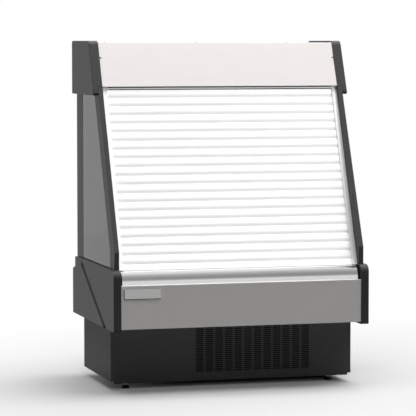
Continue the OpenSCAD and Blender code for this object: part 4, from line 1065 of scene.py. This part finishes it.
# %% Levelling feet
PAD_PROFILE_MM = ((17.5, 0), (18.5, 0.8), (18.5, 3), (17.9, 3.6), (10.36, 14.5), (9.25, 16))
PAD_SIDES = 40
STEM_RADIUS = 6 * MM
THREAD_PITCH = 1.75 * MM
THREAD_DEPTH = 0.7 * MM
NUT_RADIUS = 10.4 * MM
NUT_GAP = 0.4 * MM
NUT_EDGE = 0.8 * MM
pad = [(radius * MM, height * MM) for radius, height in PAD_PROFILE_MM]
pad_top = pad[-1][1]
for where in ("front_left", "front_right", "rear_left", "rear_right"):
    low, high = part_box("foot_" + where)
    body = "foot_" + where + "_body"
    centre = ((low.x + high.x) / 2, (low.y + high.y) / 2, low.z)
    ridges = int((high.z - low.z - pad_top) / THREAD_PITCH)
    stem = []
    for i in range(ridges):
        z = pad_top + i * THREAD_PITCH
        stem += [(STEM_RADIUS - THREAD_DEPTH, z), (STEM_RADIUS, z + THREAD_PITCH / 2)]
    rings = turned(pad + stem, centre, sides=PAD_SIDES)
    solid("levelling_foot_" + where, rings, "foot_black", body, ["foot_" + where])
    nut_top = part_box("base_pan")[0].z - low.z - NUT_GAP
    rings = turned([(NUT_RADIUS, pad_top), (NUT_RADIUS, nut_top)], centre, sides=6)
    soften(solid("foot_nut_" + where, rings, "screw_steel", body), NUT_EDGE)
print("four feet,", ridges, "ridges on each stem")

# %% [markdown]
# ## Studio
# The case stands on pale paper in a white studio. The backdrop is white to the camera. What metal
# and glass mirror is a studio that is white behind the case and dimmer in front of it above the
# horizon, which gives the nosing its soft grey band. Each band is a list of heights, from the
# horizon to the zenith, and of the grey level there.

# %% World
DIFFUSE_LEVEL = 0.02
FRONT_BAND = ((0.0, 0.85), (0.2, 0.42), (0.42, 0.27), (0.7, 0.33), (0.92, 0.52), (1.0, 0.85))
BACK_BAND = ((0.0, 0.65), (0.45, 0.65), (0.85, 0.95), (1.0, 0.85))
BACK_BEGINS = 0.25
WHITE = (1, 1, 1, 1)
world = bpy.data.worlds.new("studio")
bpy.context.scene.world = world
world.use_nodes = True
tree = world.node_tree
rays = tree.nodes.new("ShaderNodeLightPath").outputs
direction = tree.nodes.new("ShaderNodeTexCoord").outputs["Generated"]
split = add_node(tree, "ShaderNodeSeparateXYZ", {"Vector": direction})
limits = {"From Min": -BACK_BEGINS, "From Max": BACK_BEGINS, "Value": split["Y"]}
behind = add_node(tree, "ShaderNodeMapRange", limits)["Result"]


def by_height(levels):
    """Grey level of the studio by how high a ray points, from the horizon to the zenith."""
    ramp = tree.nodes.new("ShaderNodeValToRGB")
    feed(ramp, {"Fac": split["Z"]})
    stops = ramp.color_ramp.elements
    while len(stops) < len(levels):
        stops.new(0.5)
    for stop, (height, level) in zip(stops, levels):
        stop.position = height
        stop.color = (level, level, level, 1)
    return ramp.outputs["Color"]


mirrored = blend(behind, by_height(FRONT_BAND), by_height(BACK_BAND))
light = blend(rays["Is Glossy Ray"], (*[DIFFUSE_LEVEL] * 3, 1), mirrored)
light = blend(rays["Is Transmission Ray"], light, WHITE)
light = blend(rays["Is Camera Ray"], light, WHITE)
feed(tree.nodes["Background"], {"Color": light})
print("world with", len(tree.nodes), "nodes")

# %% [markdown]
# Large soft lamps hang overhead, so the raked front is fully lit while upright faces stay greyer,
# as in the photograph. A photographer keeps a lamp off some pieces with flags, and light linking
# does the same: a lamp can have a list of the pieces it reaches, or skips, and of those that
# throw its shadows.

# %% Lamps on the case
AIM = (0.0, 0.0, 0.7)
LAMPS = (
    ("overhead lamp", (0.0, 0.0, 20.0), 16.0, 7900),
    ("right lamp", (8.5, 0.0, 18.1), 16.0, 5000),
    ("back right lamp", (8.0, 9.2, 15.6), 16.0, 3500),
)


def linked(name, pieces, state="INCLUDE"):
    """Collection that names the pieces a lamp reaches, skips or is shaded by."""
    group = bpy.data.collections.new(name)
    for piece in pieces:
        group.objects.link(piece)
    for entry in group.collection_objects:
        entry.light_linking.link_state = state
    return group


def hang_lamp(name, stand, size, power):
    """Square lamp turned to the case; metal and glass don't mirror it."""
    lamp = bpy.data.objects.new(name, bpy.data.lights.new(name, "AREA"))
    lamp.data.size = size
    lamp.data.energy = power
    bpy.context.scene.collection.objects.link(lamp)
    lamp.location = stand
    lamp.visible_glossy = False
    lamp.rotation_euler = (Vector(AIM) - Vector(stand)).to_track_quat("-Z", "Y").to_euler()
    return lamp


for name, stand, size, power in LAMPS:
    lamp = hang_lamp(name, stand, size, power)
    lamp.light_linking.receiver_collection = linked(name + " flag", [curtain], "EXCLUDE")
print(len(LAMPS), "lamps on the case")

# %% [markdown]
# In the photograph the curtain is evenly white right up to the header, which would shade it under
# these lamps. So the curtain has its own copies of them, a little dimmer, and only the shutter and
# the side frames throw their shadows. One more lamp, low on the right, lights the shutter's front.

# %% Lamps on the shutter
SLAT_LEVEL = 0.9
SHUTTER_STAND = (6.0, -8.5, 5.0)
SHUTTER_SIZE = 3.0
SHUTTER_POWER = 620
guides = frame["nodes"]["shutter_guides"]
side_frames = [frame["nodes"]["side_frame_left"], frame["nodes"]["side_frame_right"]]
for name, stand, size, power in LAMPS:
    lamp = hang_lamp("slat " + name, stand, size, power * SLAT_LEVEL)
    lamp.light_linking.receiver_collection = linked(name + " slats", [curtain])
    shades = [curtain, bar, guides, *side_frames]
    lamp.light_linking.blocker_collection = linked(name + " shades", shades)
lamp = hang_lamp("shutter lamp", SHUTTER_STAND, SHUTTER_SIZE, SHUTTER_POWER)
lamp.light_linking.receiver_collection = linked("shutter set", [curtain, bar, guides, trim])
print(len(LAMPS) + 1, "lamps on the shutter")

# %% [markdown]
# The **paper** lies under the case and takes its shadow. Further out it fades into the white of the
# backdrop, so no edge shows, and it sends only a little light back up. A lamp of its own keeps it
# pale in front.

# %% Paper floor
PAPER_HALF = 9.0
PAPER_CENTRE = (0.6, -0.9, 0.0)
PAPER_STAND = (-2.0, -9.0, 4.0)
PAPER_LAMP = 5.0
PAPER_POWER = 1300
mesh = bmesh.new()
corners = oblong(-PAPER_HALF, -PAPER_HALF, PAPER_HALF, PAPER_HALF)
mesh.faces.new([mesh.verts.new((x, y, 0)) for x, y in corners])
data = bpy.data.meshes.new("paper")
mesh.to_mesh(data)
mesh.free()
paper = bpy.data.objects.new("paper", data)
bpy.context.scene.collection.objects.link(paper)
paper.location = PAPER_CENTRE
lamp = hang_lamp("floor lamp", PAPER_STAND, PAPER_LAMP, PAPER_POWER)
lamp.light_linking.receiver_collection = linked("floor set", [paper])
print("paper", round(2 * PAPER_HALF), "m wide")

# %% Finish of the paper
PAPER = 0.243
PAPER_SHADE = 0.03
PAPER_ROUGHNESS = 0.9
FADE_FROM = 1.1
FADE_TO = 3.4
sheet, shader = new_finish("backdrop paper", PAPER_ROUGHNESS, specular=0.0)
data.materials.append(sheet)
tree = sheet.node_tree
rays = tree.nodes.new("ShaderNodeLightPath").outputs
reach = tree.nodes.new("ShaderNodeVectorMath")
reach.operation = "LENGTH"
feed(reach, {0: tree.nodes.new("ShaderNodeTexCoord").outputs["Object"]})
fade = tree.nodes.new("ShaderNodeMapRange")
fade.interpolation_type = "SMOOTHSTEP"
feed(fade, {"From Min": FADE_FROM, "From Max": FADE_TO, "Value": reach.outputs["Value"]})


def on_paper(kind, *values):
    """Arithmetic node of the paper's material; each value is a socket or a number."""
    node = tree.nodes.new("ShaderNodeMath")
    node.operation = kind
    feed(node, dict(enumerate(values)))
    return node.outputs["Value"]


far, diffuse_ray = fade.outputs["Result"], rays["Is Diffuse Ray"]
tone = on_paper("MULTIPLY_ADD", diffuse_ray, PAPER_SHADE - PAPER, PAPER)
colour = on_paper("MULTIPLY", tone, on_paper("SUBTRACT", 1, far))
horizon = BACK_BAND[0][1]
level = on_paper("MULTIPLY_ADD", rays["Is Camera Ray"], 1 - horizon, horizon)
glow = on_paper("MULTIPLY", level, on_paper("SUBTRACT", 1, diffuse_ray))
strength = on_paper("MULTIPLY", far, glow)
feed(shader, {"Base Color": colour, "Emission Color": WHITE, "Emission Strength": strength})
print("paper fades from", FADE_FROM, "to", FADE_TO, "m")
